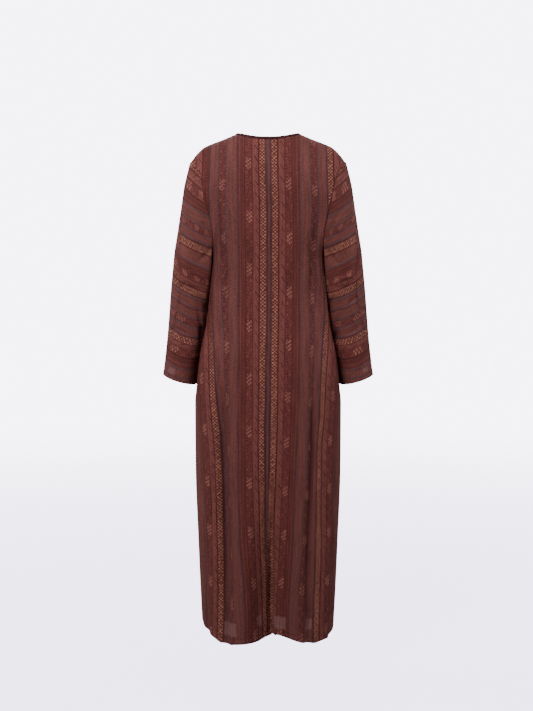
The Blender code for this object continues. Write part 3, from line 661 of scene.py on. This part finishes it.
    # the weave's own relief: threads drawn 1.5 mm apart where the real ones are at most half that
    weave = checked(across, along, "threadSpacing")
    weave = add("MULTIPLY_ADD", weave, 0.35, add("MULTIPLY", noise["picks"], 0.8))
    weave = add("ADD", weave, add("MULTIPLY", add("ADD", gold, dots), 0.7))
    weave = add("ADD", weave, add("MULTIPLY", relief, 1.2))
    bump = add("Bump", {"Height": weave, "Strength": 0.5, "Distance": 0.0007})
    fill(shader, {"Base Color": colour, "Normal": bump, "Roughness": 0.82, "Specular IOR Level": 0.22})
    fill(shader, {"Sheen Weight": 0.10, "Sheen Roughness": 0.5, "Sheen Tint": colourOf(jacquard["sheen"])})
    return material


# The sewing thread

sewing = {
    "pitch": 0.0030,
    "length": 0.0021,
    "thread": 0.00042,
    "proud": 0.4,  # share of the thread's thickness that its middle stands out by
    "ahead": 0.0005,  # distance over which a stitch takes its direction
    "row": 4,  # the row of the cloth that the stitches follow
    "colour": "#6e3a38",
}


def threadMaterial():
    # twisted polyester sewing thread, with the faint shine that the matt cloth lacks
    material, shader, add = startMaterial("sewingThread")
    place = add("TexCoord", out="Object")
    twist = {"Vector": place, "Scale": 900.0, "Distortion": 1.0}
    twist = add("TexWave", twist, out=1, bands_direction="DIAGONAL")
    value = add("MULTIPLY_ADD", twist, 0.4, 0.8)
    colour = add("HueSaturation", {"Value": value, "Color": colourOf(sewing["colour"])})
    fill(shader, {"Base Color": colour, "Roughness": 0.55})
    return material


sewingThread = threadMaterial()


def makeStitches(name, lines):
    # running stitches: small rounded threads laid along each line of points
    mesh = bmesh.new()
    for points, normals in lines:
        run = runAlong(points, 0)
        for at in np.arange(sewing["pitch"] / 2, run[-1] - sewing["pitch"] / 2, sewing["pitch"]):
            place, ahead, normal = (
                Vector([np.interp(spot, run, values[:, k]) for k in range(3)])
                for spot, values in ((at, points), (at + sewing["ahead"], points), (at, normals))
            )
            normal.normalize()
            forward = (ahead - place).normalized()
            side = normal.cross(forward).normalized()
            shape = Matrix.Identity(4)
            shape.col[0][:3] = forward * sewing["length"] / 2
            shape.col[1][:3] = side * sewing["thread"] / 2
            shape.col[2][:3] = normal * sewing["thread"] / 2
            shape.col[3][:3] = place + normal * sewing["thread"] * sewing["proud"]
            bmesh.ops.create_icosphere(mesh, subdivisions=1, radius=1, matrix=shape)
    mesh.normal_update()
    piece = asPiece(name, mesh, sewingThread)
    piece.data.shade_smooth()
    return piece


def sewnPiece(name, face, points, normals, lift, uvs, lines, material):
    # presses the hem, notes the row that its stitches follow, turns the cloth up and makes the mesh
    height = runAlong(points, 0)
    low, high, step = cloth["hemStep"]
    at, spread, depth = cloth["hemGroove"]
    lift = lift + (step * ramp(-height, -high, -low) - depth * bell(height - at, spread))
    points = points + lift[..., None] * normals
    normals = normalsOf(points, face)
    lines.append((points[sewing["row"]], normals[sewing["row"]]))
    points, uvs = turnedUp(points, normals, uvs)
    outward = np.zeros_like(points)
    outward[-len(normals) :] = normals
    return makeCloth(name, points, uvs, outward, material), clothArea(points)


# The body: two backs, seamed down the centre, and the front in one

bodyPieces = {
    "quarterHem": 0.29,  # from the centre round to the side seam
    "centreFold": (0.16, 27),  # share of the way round that it takes, and how many columns
    "leastGap": 0.0022,  # between two columns, as a share of the way round
    "chestRows": 28,
    "shoulderRows": 30,
    "topRows": (2.965, 2.985, 3.0),  # the last ones, close together at the shoulder seam
    # how strong the seam ridge is: on the chest, on the skirt, at the centre seam, at the shoulder
    "ridges": (1.8, 0.35, 0.15, 0.6),
    # heights of the woven medallions down each half of the back
    "leftMedallions": (-0.088, -0.229, -0.365, -0.515, -0.655, -0.791, -0.928, -1.059, -1.197),
    "rightMedallions": (-0.143, -0.285, -0.426, -0.565, -0.702, -0.82, -0.949, -1.067, -1.197),
    "frontMedallions": (-0.11, -0.249, -0.387, -0.526, -0.665, -0.803, -0.942, -1.08, -1.219),
    # distances from the centre at which a half's stripes are told how far they lie off, and how far by height
    "driftAt": (0.0, 0.016, 0.034, 0.052, 0.081, 0.103, 0.125, 0.143, 0.158),
    "leftDrift": (
        (-1340, 3, 6.2, 6, 2.8, -0.4, 0.2, 1, 2, 2.8),
        (-1253, 2, 3.2, 3.7, 1.4, -1, -0.6, 1, 2.4, 2.8),
        (-1170, 1, 0.5, 1.9, 1.2, 0.8, 1.2, 8, 6, 4.5),
        (-1103, 0, -0.8, 1.7, 2, 0.8, 4.3, 13, 8.5, 7.5),
        (-978, 0, -0.4, 2.6, 2.5, 1.4, 8.6, 20, 14, 11.5),
        (-869, 0, -2, 0.6, 1.8, 1.1, 8, 20, 12, 9),
        (-791, 0, -2.4, 0, 1.4, 1.1, 6.8, 18, 13, 9),
        (-698, 1.5, -0.4, 1.2, 2, 1.4, 6.1, 15, 12, 10),
        (-579, 2.5, 0.3, 1.6, 2.5, 2.2, 8.5, 10.5, 6, 5),
        (-449, 4, 1.5, 2.1, 2.9, 1.8, 2, -1.4, -5, -9),
        (-345, 4, 2.5, 2.8, 3.3, 1.8, -0.6, -5, -8, -11),
        (-220, 4, 2.8, 3.2, 3.2, 1, -0.6, -4, -5, -7),
    ),
    "rightDrift": (
        (-1340, 10, 8.5, 3.1, -1.5, 3, 6.4, 8.5, 4, 1),
        (-1253, 10, 8.5, 2, -0.7, 5, 9.6, 6, 0, -3),
        (-1170, 10, 8.5, 2, 2, 5.6, 11.5, 1, -4, -3),
        (-1103, 9.5, 8, 3.6, 4, 8.5, 12, 2, -2, 1),
        (-978, 7.5, 6.7, 6.1, 7.8, 12, 13, 3, 6, 11),
        (-869, 3.2, 3.8, 4.5, 4.8, 7.2, 7.8, 0, 5, 13),
        (-791, 3, 0.9, 1.6, 3.3, 3.4, 6, 2, 8, 14),
        (-698, 2, -0.3, 0.6, 0.5, 0, 2, 10, 13, 16),
        (-579, 1.2, -1.3, -0.4, -1.6, -2, 0.2, 4.5, 7, 4.5),
        (-449, 0, -2.3, -2.1, -3.5, -2.5, -3, -3.5, -6, -12),
        (-345, 0, -2.5, -2.4, -4.3, -3.2, -7, -9, -11, -14),
        (-220, 0, -3.1, -2.4, -3.9, -2, -5, -6, -7, -8),
    ),
    "frontDrift": (
        (-1340, 2, 0, 0, 0, 0, 0, 0, 0, 0),
        (-220, 2, 0, 0, 0, 0, 0, 0, 0, 0),
    ),
    # thin panes above the hem, painted paler as light that comes through, on the flat cloth: across from and
    # to, along from and to
    "leftWindows": ((0.106, 0.154, 1.214, 1.25), (0.029, 0.047, 1.199, 1.226)),
    "rightWindows": ((0.029, 0.072, 1.206, 1.242), (0.137, 0.153, 1.212, 1.242)),
    "backCreases": (
        (-106.5, -620, -104, -1220, 0, 10, -3.4),
        (3, -520, 5, -1150, 1, 11.5, 5.6),
        (-6, -900, -7, -1420, 0.5, 9, 5.6),
        (150, -105, 172, -150, 4, 10, 2.2),
        (166, -100, 181, -135, 3, 7, -1.8),
        (128, -170, 142, -420, 6, 12, 2.8),
        (108, -260, 120, -560, -6, 14, -1.6),
        (145, -300, 100, -420, 10, 12, 1.8),
        (60, -420, 72, -900, 6, 16, 1.8),
        (30, -1080, 36, -1330, -6, 9, -1.2),
        (52, -950, 60, -1340, 8, 12, -2.2),
        (85, -880, 92, -1350, -7, 13, 2.6),
        (150, -700, 165, -1200, 10, 12, 2.6),
        (-150, -110, -172, -160, -4, 10, 2),
        (-122, -200, -138, -430, -5, 12, 2.6),
        (-100, -300, -112, -600, 6, 15, -1.5),
        (-145, -310, -105, -450, -9, 11, 1.8),
        (-55, -520, -70, -980, -7, 16, 1.8),
        (-45, -1020, -60, -1340, 8, 10, 2.6),
        (-82, -930, -90, -1340, -6, 12, -2),
        (-150, -760, -162, -1260, -9, 12, 2.6),
    ),
    "frontCreases": (
        (100, -140, 118, -400, 6, 14, 2.6),
        (-108, -160, -126, -420, -6, 13, 2.6),
        (30, -260, 55, -620, 10, 16, 2.2),
        (-40, -340, -62, -760, -8, 16, 2.2),
        (75, -620, 88, -1320, 10, 14, -2.6),
        (-85, -700, -96, -1330, -8, 14, 2.8),
        (130, -420, 150, -1000, 9, 13, 2.6),
        (-132, -460, -150, -1100, -9, 13, 2.6),
        (-10, -800, -20, -1340, 6, 11, 2.4),
    ),
}


def bodyReaches(face):
    # columns from the centre to the armhole: even round the hem, closer in the centre fold and at seams
    half, around = bodyForm["neckHalfWidth"], bodyPieces["quarterHem"]
    reaches = np.linspace(0, bodyForm["shoulderReach"], 3000)
    top = topEdge(reaches, face)
    turns = angleAt(reaches, top, face) / edgeAngle(top, face)
    beside = [s / around for s in cloth["seamSpots"]]
    spots = list(np.linspace(0, 1, round(around / cloth["skirtStep"]) + 1)) + [1 - s for s in beside]
    if face > 0:
        share, count = bodyPieces["centreFold"]
        spots += list(np.linspace(0, share, count)) + beside[:4]
    spots.append(np.interp(half, reaches, turns))
    spots = np.unique(np.round(spots, 4))
    keep = [spots[0]]
    for spot in spots[1:]:
        if spot - keep[-1] > bodyPieces["leastGap"]:
            keep.append(spot)
    keep[-1] = 1.0
    result = np.interp(keep, turns, reaches)
    result[np.argmin(np.abs(result - half))] = half
    return result


def bodyRises():
    # rows from the hem to the top, closer at the hem, on the chest and at the shoulder
    top, hemRows = bodyForm["length"] + bodyForm["armpit"], np.array(cloth["hemRows"])
    above = np.linspace((hemRows[-1] + 0.005) / top, 1, round(1.0 / cloth["skirtStep"]))
    chest = np.linspace(1, 2, bodyPieces["chestRows"] + 1)[1:]
    shoulder = np.linspace(0, 1, bodyPieces["shoulderRows"] + 1)[1:-1] + 2
    return np.concatenate([hemRows / top, above, chest, shoulder, bodyPieces["topRows"]])


def drifted(distance, z, table):
    # how far the stripes lie off at each distance and height, in straight runs between the table's distances
    places, table = bodyPieces["driftAt"], np.array(table) / 1000
    offs = [smoothColumn(table, i + 1, z) for i in range(len(places))]
    total = np.where(distance >= places[-1], offs[-1], 0.0)
    for i in range(len(places) - 1):
        t = (distance - places[i]) / (places[i + 1] - places[i])
        total = total + np.where((t >= 0) & (t < 1), offs[i] * (1 - t) + offs[i + 1] * t, 0)
    return total


def stripePlace(reach, rise, face, medallions, drift):
    # where each point of the body lies on the flat cloth: across the stripes and along them
    angle, z = placeOnBody(reach, rise, face)
    shares = np.linspace(0, 1, 40)
    sampled = clothAt(angle[..., None] * shares, np.repeat(z[..., None], 40, -1), face)[..., :2]
    around = np.linalg.norm(np.diff(sampled, axis=-2), axis=-1).sum(-1)
    around = around + drifted(around, z, drift)
    high = ramp(z, -0.230, -0.070)  # from here up the stripes run straight to the shoulder
    across = around * (1 - high) + np.abs(sampled[..., -1, 0]) * high
    # the medallions' heights, carried on by two repeats past the first and the last
    heights, repeat = np.array(medallions), jacquard["motifRepeat"]
    first, last = heights[0] + 2 * (heights[0] - heights[1]), heights[-1] - 2 * (heights[-2] - heights[-1])
    known = np.array([-2, *range(len(heights)), len(heights) + 1]) * repeat
    table = np.stack([np.concatenate([[first], heights, [last]]), known], -1)[::-1]
    return np.stack([across, smoothColumn(table, 1, z)], -1)


def makeBodyPiece(name, face, half, reaches, material):
    rise, reach = np.meshgrid(bodyRises(), reaches, indexing="ij")
    points = bodyCloth(reach, rise, face)
    normals = normalsOf(points, face)
    points = creased(points, normals, bodyPieces["backCreases" if face > 0 else "frontCreases"])
    uvs = stripePlace(reach, rise, face, bodyPieces[half + "Medallions"], bodyPieces[half + "Drift"])
    width, height = runAlong(points, 1), runAlong(points, 0)
    chest, skirt, centre, shoulder = bodyPieces["ridges"]
    lift = np.zeros(points.shape[:2])
    for edge, distance in ((reaches[0], width), (reaches[-1], width[:, -1:] - width)):
        ridge = np.where(rise >= 1, chest, skirt) if abs(edge) > 0.2 else centre
        lift += seamProfile(distance, ridge * cloth["seamRidge"])
    beyond = ramp(np.abs(reach), bodyForm["neckHalfWidth"] - 0.002, bodyForm["neckHalfWidth"])
    lift += beyond * seamProfile(height[-1:] - height, shoulder * cloth["seamRidge"])
    return sewnPiece(name, face, points, normals, lift, uvs, hemLines, material)


hemLines = []
backReaches, frontReaches = bodyReaches(1), bodyReaches(-1)
frontBoth = np.concatenate([-frontReaches[:0:-1], frontReaches])
leftBackCloth = jacquardCloth(
    "jacquardLeftBack", 1.0, 0.0, 0.055, windows=bodyPieces["leftWindows"], lowGold=0.12
)
rightBackCloth = jacquardCloth("jacquardRightBack", -1.0, 0.0, 0.016, windows=bodyPieces["rightWindows"])
frontCloth = jacquardCloth("jacquardFront", 1.0, 0.0, 0.062)
leftBack, leftBackArea = makeBodyPiece("leftBack", 1, "left", backReaches, leftBackCloth)
rightBack, rightBackArea = makeBodyPiece("rightBack", 1, "right", -backReaches[::-1], rightBackCloth)
frontPanel, frontArea = makeBodyPiece("frontPanel", -1, "front", frontBoth, frontCloth)
hemStitches = makeStitches("hemStitches", hemLines)
print("body made", leftBackArea, rightBackArea, frontArea)

# The sleeves, each in a back and a front half

sleevePieces = {
    "width": 0.23,  # of a half at its middle
    "margin": (0.01, 0.013),  # where the even rows and columns begin, from the armhole and a seam
    "backTilt": 0.28,  # how much lower the stripes hang at the back
    # height, how far the stripes fall towards the body for each metre inwards
    "slant": (
        (-0.66, 0.2), (-0.58, 0.35), (-0.5, 0.43), (-0.41, 0.45), (-0.33, 0.42), (-0.25, 0.5),
        (-0.17, 0.65),
    ),
    "slantFrom": 0.26,  # distance from the centre at which the fall is counted
    "frontOffset": 0.016,  # the halves' stripes don't meet at the overarm seam
    # how strong the seam ridge is: overarm on the back half and the front half, underarm, armhole
    "ridges": (1.3, 0.5, 0.3, 0.2),
    # fall of a stripe down the sleeve, its distance on the flat cloth
    "fall": (
        (-0.06, -0.06), (0.064, 0.0336), (0.095, 0.051), (0.125, 0.068), (0.15, 0.084),
        (0.168, 0.095), (0.186, 0.106), (0.2005, 0.1185), (0.215, 0.131), (0.2265, 0.1408),
        (0.238, 0.1505), (0.2595, 0.165), (0.2725, 0.175), (0.288, 0.1835), (0.3045, 0.1925),
        (0.3235, 0.2085), (0.3415, 0.2255), (0.361, 0.243), (0.381, 0.2605), (0.3915, 0.27),
        (0.4, 0.2755), (0.4135, 0.2852), (0.427, 0.295), (0.434, 0.3), (0.454, 0.317),
        (0.4685, 0.3295), (0.483, 0.342), (0.496, 0.3518), (0.509, 0.3615), (0.527, 0.376),
        (0.538, 0.385), (0.545, 0.3913), (0.559, 0.4087), (0.588, 0.4257), (0.613, 0.4417),
        (0.625, 0.4527), (0.637, 0.4637), (0.643, 0.4685), (0.72, 0.53),
    ),
    # thin panes near the cuff, painted paler as light that comes through: across from and to, along from and
    # to, on the flat cloth
    "leftWindows": ((0.446, 0.464, 0.03, 0.054),),
    "rightWindows": ((0.449, 0.461, 0.03, 0.047),),
    # where the order of the stripes turns on the flat cloth: start, place in the repeat, direction
    "runs": (
        (0.175, 0.1035, -1.0), (0.27, 0.156, -1.0), (0.3, 0.089, 1.0), (0.385, 0.0273, 1.0),
        (0.4685, 0.0412, 0.0),
    ),
    "leftBackCreases": (
        (150, -300, 190, -345, 6, 10, 5.6),
        (228, -395, 172, -418, -6, 8, 4.2),
        (215, -372, 170, -392, 5, 8, -3.6),
        (255, -400, 205, -445, 8, 9, 3.6),
        (190, -455, 182, -600, 5, 10, 4.8),
        (262, -520, 210, -548, 5, 10, 2.5),
        (205, -190, 170, -240, 4, 9, 2.5),
        (225, -200, 180, -300, 6, 12, 2.2),
        (262, -560, 240, -640, 4, 14, 3.1),
    ),
    "rightBackCreases": (
        (-152, -296, -188, -350, -6, 10, 5.6),
        (-230, -398, -176, -414, 6, 8, 3.9),
        (-236, -382, -180, -400, -4, 7, -3.6),
        (-258, -430, -212, -470, -7, 10, 3.4),
        (-192, -450, -186, -590, -5, 10, 4.5),
        (-262, -500, -205, -540, 5, 10, 2.5),
        (-205, -200, -172, -250, -4, 9, 2.5),
        (-228, -210, -186, -310, -6, 12, 2.2),
        (-265, -570, -245, -650, 4, 13, 3.1),
    ),
    "frontCreases": (
        (160, -310, 200, -350, 6, 10, 4.8),
        (245, -330, 180, -380, 8, 10, 4.2),
        (250, -400, 185, -440, -8, 10, 4.5),
        (262, -470, 195, -490, 6, 10, 3.6),
        (230, -200, 185, -290, 6, 12, 2.8),
        (265, -560, 215, -600, 6, 11, 3.1),
    ),
}


def makeSleevePiece(name, half, mirror, material, creases):
    length, step, wide = sleeveForm["length"], cloth["sleeveStep"], sleevePieces["width"]
    top, side = sleevePieces["margin"]
    low = 1 - np.array(cloth["hemRows"])[::-1] / length
    even = np.linspace(top / length, low[0], round(length / step))[:-1]
    rows = np.concatenate([np.array(cloth["capRows"]) / length, even, low])[::-1]
    spots = np.array((0.0, *cloth["seamSpots"])) / wide
    even = np.linspace(side / wide, 1 - side / wide, round(wide / step))
    along, turn = np.meshgrid(rows, np.concatenate([spots, even, 1 - spots[::-1]]), indexing="ij")
    points = sleeveCloth(along, turn, half, mirror)
    normals = normalsOf(points, half)
    points = creased(points, normals, creases)
    x, y, z = np.abs(points[..., 0]), points[..., 1], points[..., 2]
    slant = smoothColumn(sleevePieces["slant"], 1, z) * (sleevePieces["slantFrom"] - x)
    fall = -z - sleevePieces["backTilt"] * y - slant
    if half < 0:
        fall = fall + sleevePieces["frontOffset"] * ramp(z, -0.400, -0.300)
    table = np.array(sleevePieces["fall"])
    width, height = runAlong(points, 1), runAlong(points, 0)
    uvs = np.stack([np.interp(fall, table[:, 0], table[:, 1]), width], -1)
    back, front, underarm, armhole = sleevePieces["ridges"]
    ridge = cloth["seamRidge"] * (back if half > 0 else front)
    lift = seamProfile(width, ridge) + seamProfile(width[:, -1:] - width, underarm * ridge)
    lift += seamProfile(height[-1:] - height, armhole * ridge)
    return sewnPiece(name, half, points, normals, lift, uvs, cuffLines, material)


cuffLines = []
sleeveChart = {"runs": sleevePieces["runs"], "spacing": 0.075}
leftSleeveCloth = jacquardCloth(
    "jacquardLeftSleeve", 1.0, 0.030, 0.020, windows=sleevePieces["leftWindows"], **sleeveChart
)
rightSleeveCloth = jacquardCloth(
    "jacquardRightSleeve", -1.0, 0.045, 0.012, windows=sleevePieces["rightWindows"], **sleeveChart
)
mirroredFront = [(-a, b, -c, d, -e, f, g) for a, b, c, d, e, f, g in sleevePieces["frontCreases"]]
sleeveLeftBack, leftSleeveBackArea = makeSleevePiece(
    "leftSleeveBack", 1, 1, leftSleeveCloth, sleevePieces["leftBackCreases"]
)
sleeveLeftFront, leftSleeveFrontArea = makeSleevePiece(
    "leftSleeveFront", -1, 1, leftSleeveCloth, sleevePieces["frontCreases"]
)
sleeveRightBack, rightSleeveBackArea = makeSleevePiece(
    "rightSleeveBack", 1, -1, rightSleeveCloth, sleevePieces["rightBackCreases"]
)
sleeveRightFront, rightSleeveFrontArea = makeSleevePiece(
    "rightSleeveFront", -1, -1, rightSleeveCloth, mirroredFront
)
cuffStitches = makeStitches("cuffStitches", cuffLines)
print("sleeves made", leftSleeveBackArea, leftSleeveFrontArea, rightSleeveBackArea, rightSleeveFrontArea)

# The neck binding: a strip folded over the neck edge

binding = {
    "width": 0.010,
    "fold": 0.0011,  # half the distance between its two layers
    "crown": ((0.3, 0.0002), (0.65, 0.0001)),  # share of its width, how much further it stands out there
    "foldAngles": (60, 25, -10, -45, -80),  # points round the folded edge
    "start": 0.0006,  # its sewn edge, from the cloth's own edge
    "sunk": 0.0008,  # its middle, below the outer face of the cloth
    "thickness": 0.0006,
    "steps": 64,
    "evening": (9, 4),  # neighbours over which its slant and its direction are evened
    "colour": "#4a2022",
}


def neckLoop():
    # the neck edge of the back and the front as one loop, with the outward normals there
    loop, normals = [], []
    half = bodyForm["neckHalfWidth"] * np.sin(np.linspace(0, 1, binding["steps"] + 1) * math.pi / 2)
    for face in (1, -1):
        reaches = np.concatenate([-half[:0:-1], half])[::-face][:-1]
        edge, inside = bodyCloth(reaches, 3.0, face), bodyCloth(reaches, 2.96, face)
        down = unitOf(inside - edge)
        tangent = np.gradient(edge, axis=0)
        normal = unitOf(np.cross(tangent, down))
        normals.append(normal * np.sign(normal[:, 2] + 1e-9)[:, None])
        loop.append(edge)
    return np.concatenate(loop), np.concatenate(normals)


def bindingCloth():
    # a bias strip of plain-woven maroon cotton, darker than the jacquard and with a finer grain
    material, shader, add = startMaterial("maroonBinding")
    place = add("UVMap", uv_map="cloth")
    turned = add("Mapping", {"Vector": place, "Rotation": (0, 0, math.radians(45))})
    weave = add("TexChecker", {"Vector": turned, "Scale": 900.0}, out=1)
    slubs = add("TexNoise", {"Vector": turned, "Scale": 260.0, "Detail": 3.0})
    value = add("MULTIPLY_ADD", slubs, 0.5, 0.75)
    colour = add("HueSaturation", {"Value": value, "Color": colourOf(binding["colour"])})
    relief = add("MULTIPLY_ADD", weave, 0.5, slubs)
    bump = add("Bump", {"Height": relief, "Strength": 0.4, "Distance": 0.0004})
    fill(shader, {"Base Color": colour, "Normal": bump, "Roughness": 0.86, "Specular IOR Level": 0.22})
    return material


def evened(values, reach):
    # the mean over neighbours on both sides round a closed loop
    return sum(np.roll(values, step, 0) for step in range(-reach, reach + 1)) / (2 * reach + 1)


def makeBinding():
    loop, normals = neckLoop()
    slanting, turning = binding["evening"]
    normals = unitOf(evened(normals, slanting))
    tangent = unitOf(evened(np.roll(loop, -1, 0) - np.roll(loop, 1, 0), turning))
    inward = unitOf(np.cross(normals, tangent))
    inward = inward * np.sign(-(inward * (loop - loop.mean(0))).sum())
    normals = unitOf(np.cross(tangent, inward))
    normals = normals * np.sign(normals[:, 2].sum())
    half, reach, start = binding["fold"], binding["width"], binding["start"]
    profile = [(start, half)] + [(reach * share, half + out) for share, out in binding["crown"]]
    profile.append((reach - half, half))
    for lean in np.radians(binding["foldAngles"]):
        profile.append((reach - half + half * math.cos(lean), half * math.sin(lean)))
    profile += [(reach * 0.6, -half), (start, -half)]
    middle = loop - normals * binding["sunk"]
    points = np.array([middle + inward * across + normals * out for across, out in profile])
    points = np.concatenate([points, points[:, :1]], 1)
    run = runAlong(points, 1)[3:4]
    uvs = np.stack([runAlong(points, 0), np.repeat(run, len(points), 0)], -1)
    outward = np.zeros_like(points)
    outward[:3, :, 2] = 1
    strip = makeCloth("neckBinding", points, uvs, outward, bindingCloth(), True, binding["thickness"])
    stitches = makeStitches("neckStitches", [(points[1], np.concatenate([normals, normals[:1]]))])
    return strip, clothArea(points), stitches


neckBinding, bindingArea, neckStitches = makeBinding()
print("binding made", bindingArea)

for piece, node in (
    (leftBack, "back_left"),
    (rightBack, "back_right"),
    (frontPanel, "front"),
    (sleeveLeftBack, "sleeve_left_back"),
    (sleeveLeftFront, "sleeve_left_front"),
    (sleeveRightBack, "sleeve_right_back"),
    (sleeveRightFront, "sleeve_right_front"),
    (neckBinding, "neck_binding"),
):
    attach(piece, "root")
    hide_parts(node)
sewn = (hemStitches, "front"), (cuffStitches, "sleeve_left_back"), (neckStitches, "neck_binding")
for piece, node in sewn:
    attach(piece, "root")

# Floor, light and camera

studio = {
    "floorHeight": -1.480,
    "floorRadius": 30,
    "floorPaint": ("#c3c2c5", "#c9c8ca"),
    "floorFade": (1.2, 7.0),  # distances between which the floor runs out into the backdrop
    "floorGlow": (3.35, 3.10, 4.20),  # added to the floor for the camera, so that it stays pale
    "backdropGlow": (6.70, 6.45, 7.45),
    "eye": (0.0043, 3.0, -0.475),
    "aim": (0.0043, 0.0, -0.597),
    "halfView": 0.97,  # half the height that the camera sees at the garment
    # place, what it points at, diameter, watts
    "lights": {
        "keyLight": ((1.2, 2.4, 1.7), (0, 0, -0.45), 1.4, 84.0),
        "fillLight": ((-2.4, 2.3, 0.7), (0, 0, -0.6), 2.0, 38.0),
        "leftLight": ((2.8, -0.6, 0.5), (0, 0, -0.6), 1.6, 36.0),
        "rightLight": ((-2.8, -0.6, 0.5), (0, 0, -0.6), 1.6, 34.0),
        "frontLight": ((0.5, -3.1, 1.6), (0, 0, -0.4), 2.0, 75.0),
        "lowLight": ((1.6, 1.7, -1.3), (0.12, 0, -1.2), 0.8, 6.5),
    },
}


def glowOf(name):
    # a glow's red, green and blue as a colour and a strength
    red, green, blue = studio[name]
    return {"Color": (red / blue, green / blue, 1, 1), "Strength": blue}


def studioFloor():
    # matt painted floor, lifted to near white and running out into the backdrop
    material, shader, add = startMaterial("mattFloorPaint")
    place = add("TexCoord", out="Object")
    darker, paler = (colourOf(code) for code in studio["floorPaint"])
    grain = add("TexNoise", {"Vector": place, "Scale": 3.0})
    paint = add("Mix", {0: grain, 6: darker, 7: paler}, out=2, data_type="RGBA")
    fill(shader, {"Base Color": paint, "Roughness": 0.9, "Specular IOR Level": 0.1})
    lifted = add("AddShader", shader.outputs[0], add("Emission", glowOf("floorGlow")))
    white = add("Emission", glowOf("backdropGlow"))
    away = add("VectorMath", place, out="Value", operation="LENGTH")
    share = add("MapRange", away, *studio["floorFade"], interpolation_type="SMOOTHSTEP")
    fill(material.node_tree.nodes["Material Output"], {"Surface": add("MixShader", share, lifted, white)})
    return material


mesh = bmesh.new()
bmesh.ops.create_circle(mesh, cap_ends=True, segments=96, radius=studio["floorRadius"])
bmesh.ops.translate(mesh, verts=mesh.verts, vec=(0, 0, studio["floorHeight"]))
floor = asPiece("floor", mesh, studioFloor())
floor.visible_diffuse = False  # its glow is for the camera and lights nothing
floor.visible_glossy = False

world = bpy.data.worlds.new("backdrop")
bpy.context.scene.world = world
world.use_nodes = True
fill(world.node_tree.nodes["Background"], glowOf("backdropGlow"))
world.cycles_visibility.diffuse = False  # the lamps alone light the cloth
world.cycles_visibility.glossy = False


def turnTo(thing, place, aim):
    thing.location = place
    thing.rotation_euler = (Vector(aim) - Vector(place)).to_track_quat("-Z", "Y").to_euler()
    bpy.context.scene.collection.objects.link(thing)


for name, (place, aim, size, power) in studio["lights"].items():
    data = bpy.data.lights.new(name, "AREA")
    data.shape, data.size, data.energy = "DISK", size, power
    light = bpy.data.objects.new(name, data)
    light.visible_camera = False
    turnTo(light, place, aim)

eye, aim = studio["eye"], studio["aim"]
lens = bpy.data.cameras.new("camera")
lens.sensor_fit = "VERTICAL"
away, drop = eye[1] - aim[1], eye[2] - aim[2]
lens.angle = 2 * math.atan(studio["halfView"] / away * math.cos(math.atan2(drop, away)))
camera = bpy.data.objects.new("camera", lens)
turnTo(camera, eye, aim)
bpy.context.scene.camera = camera
print("stage set")
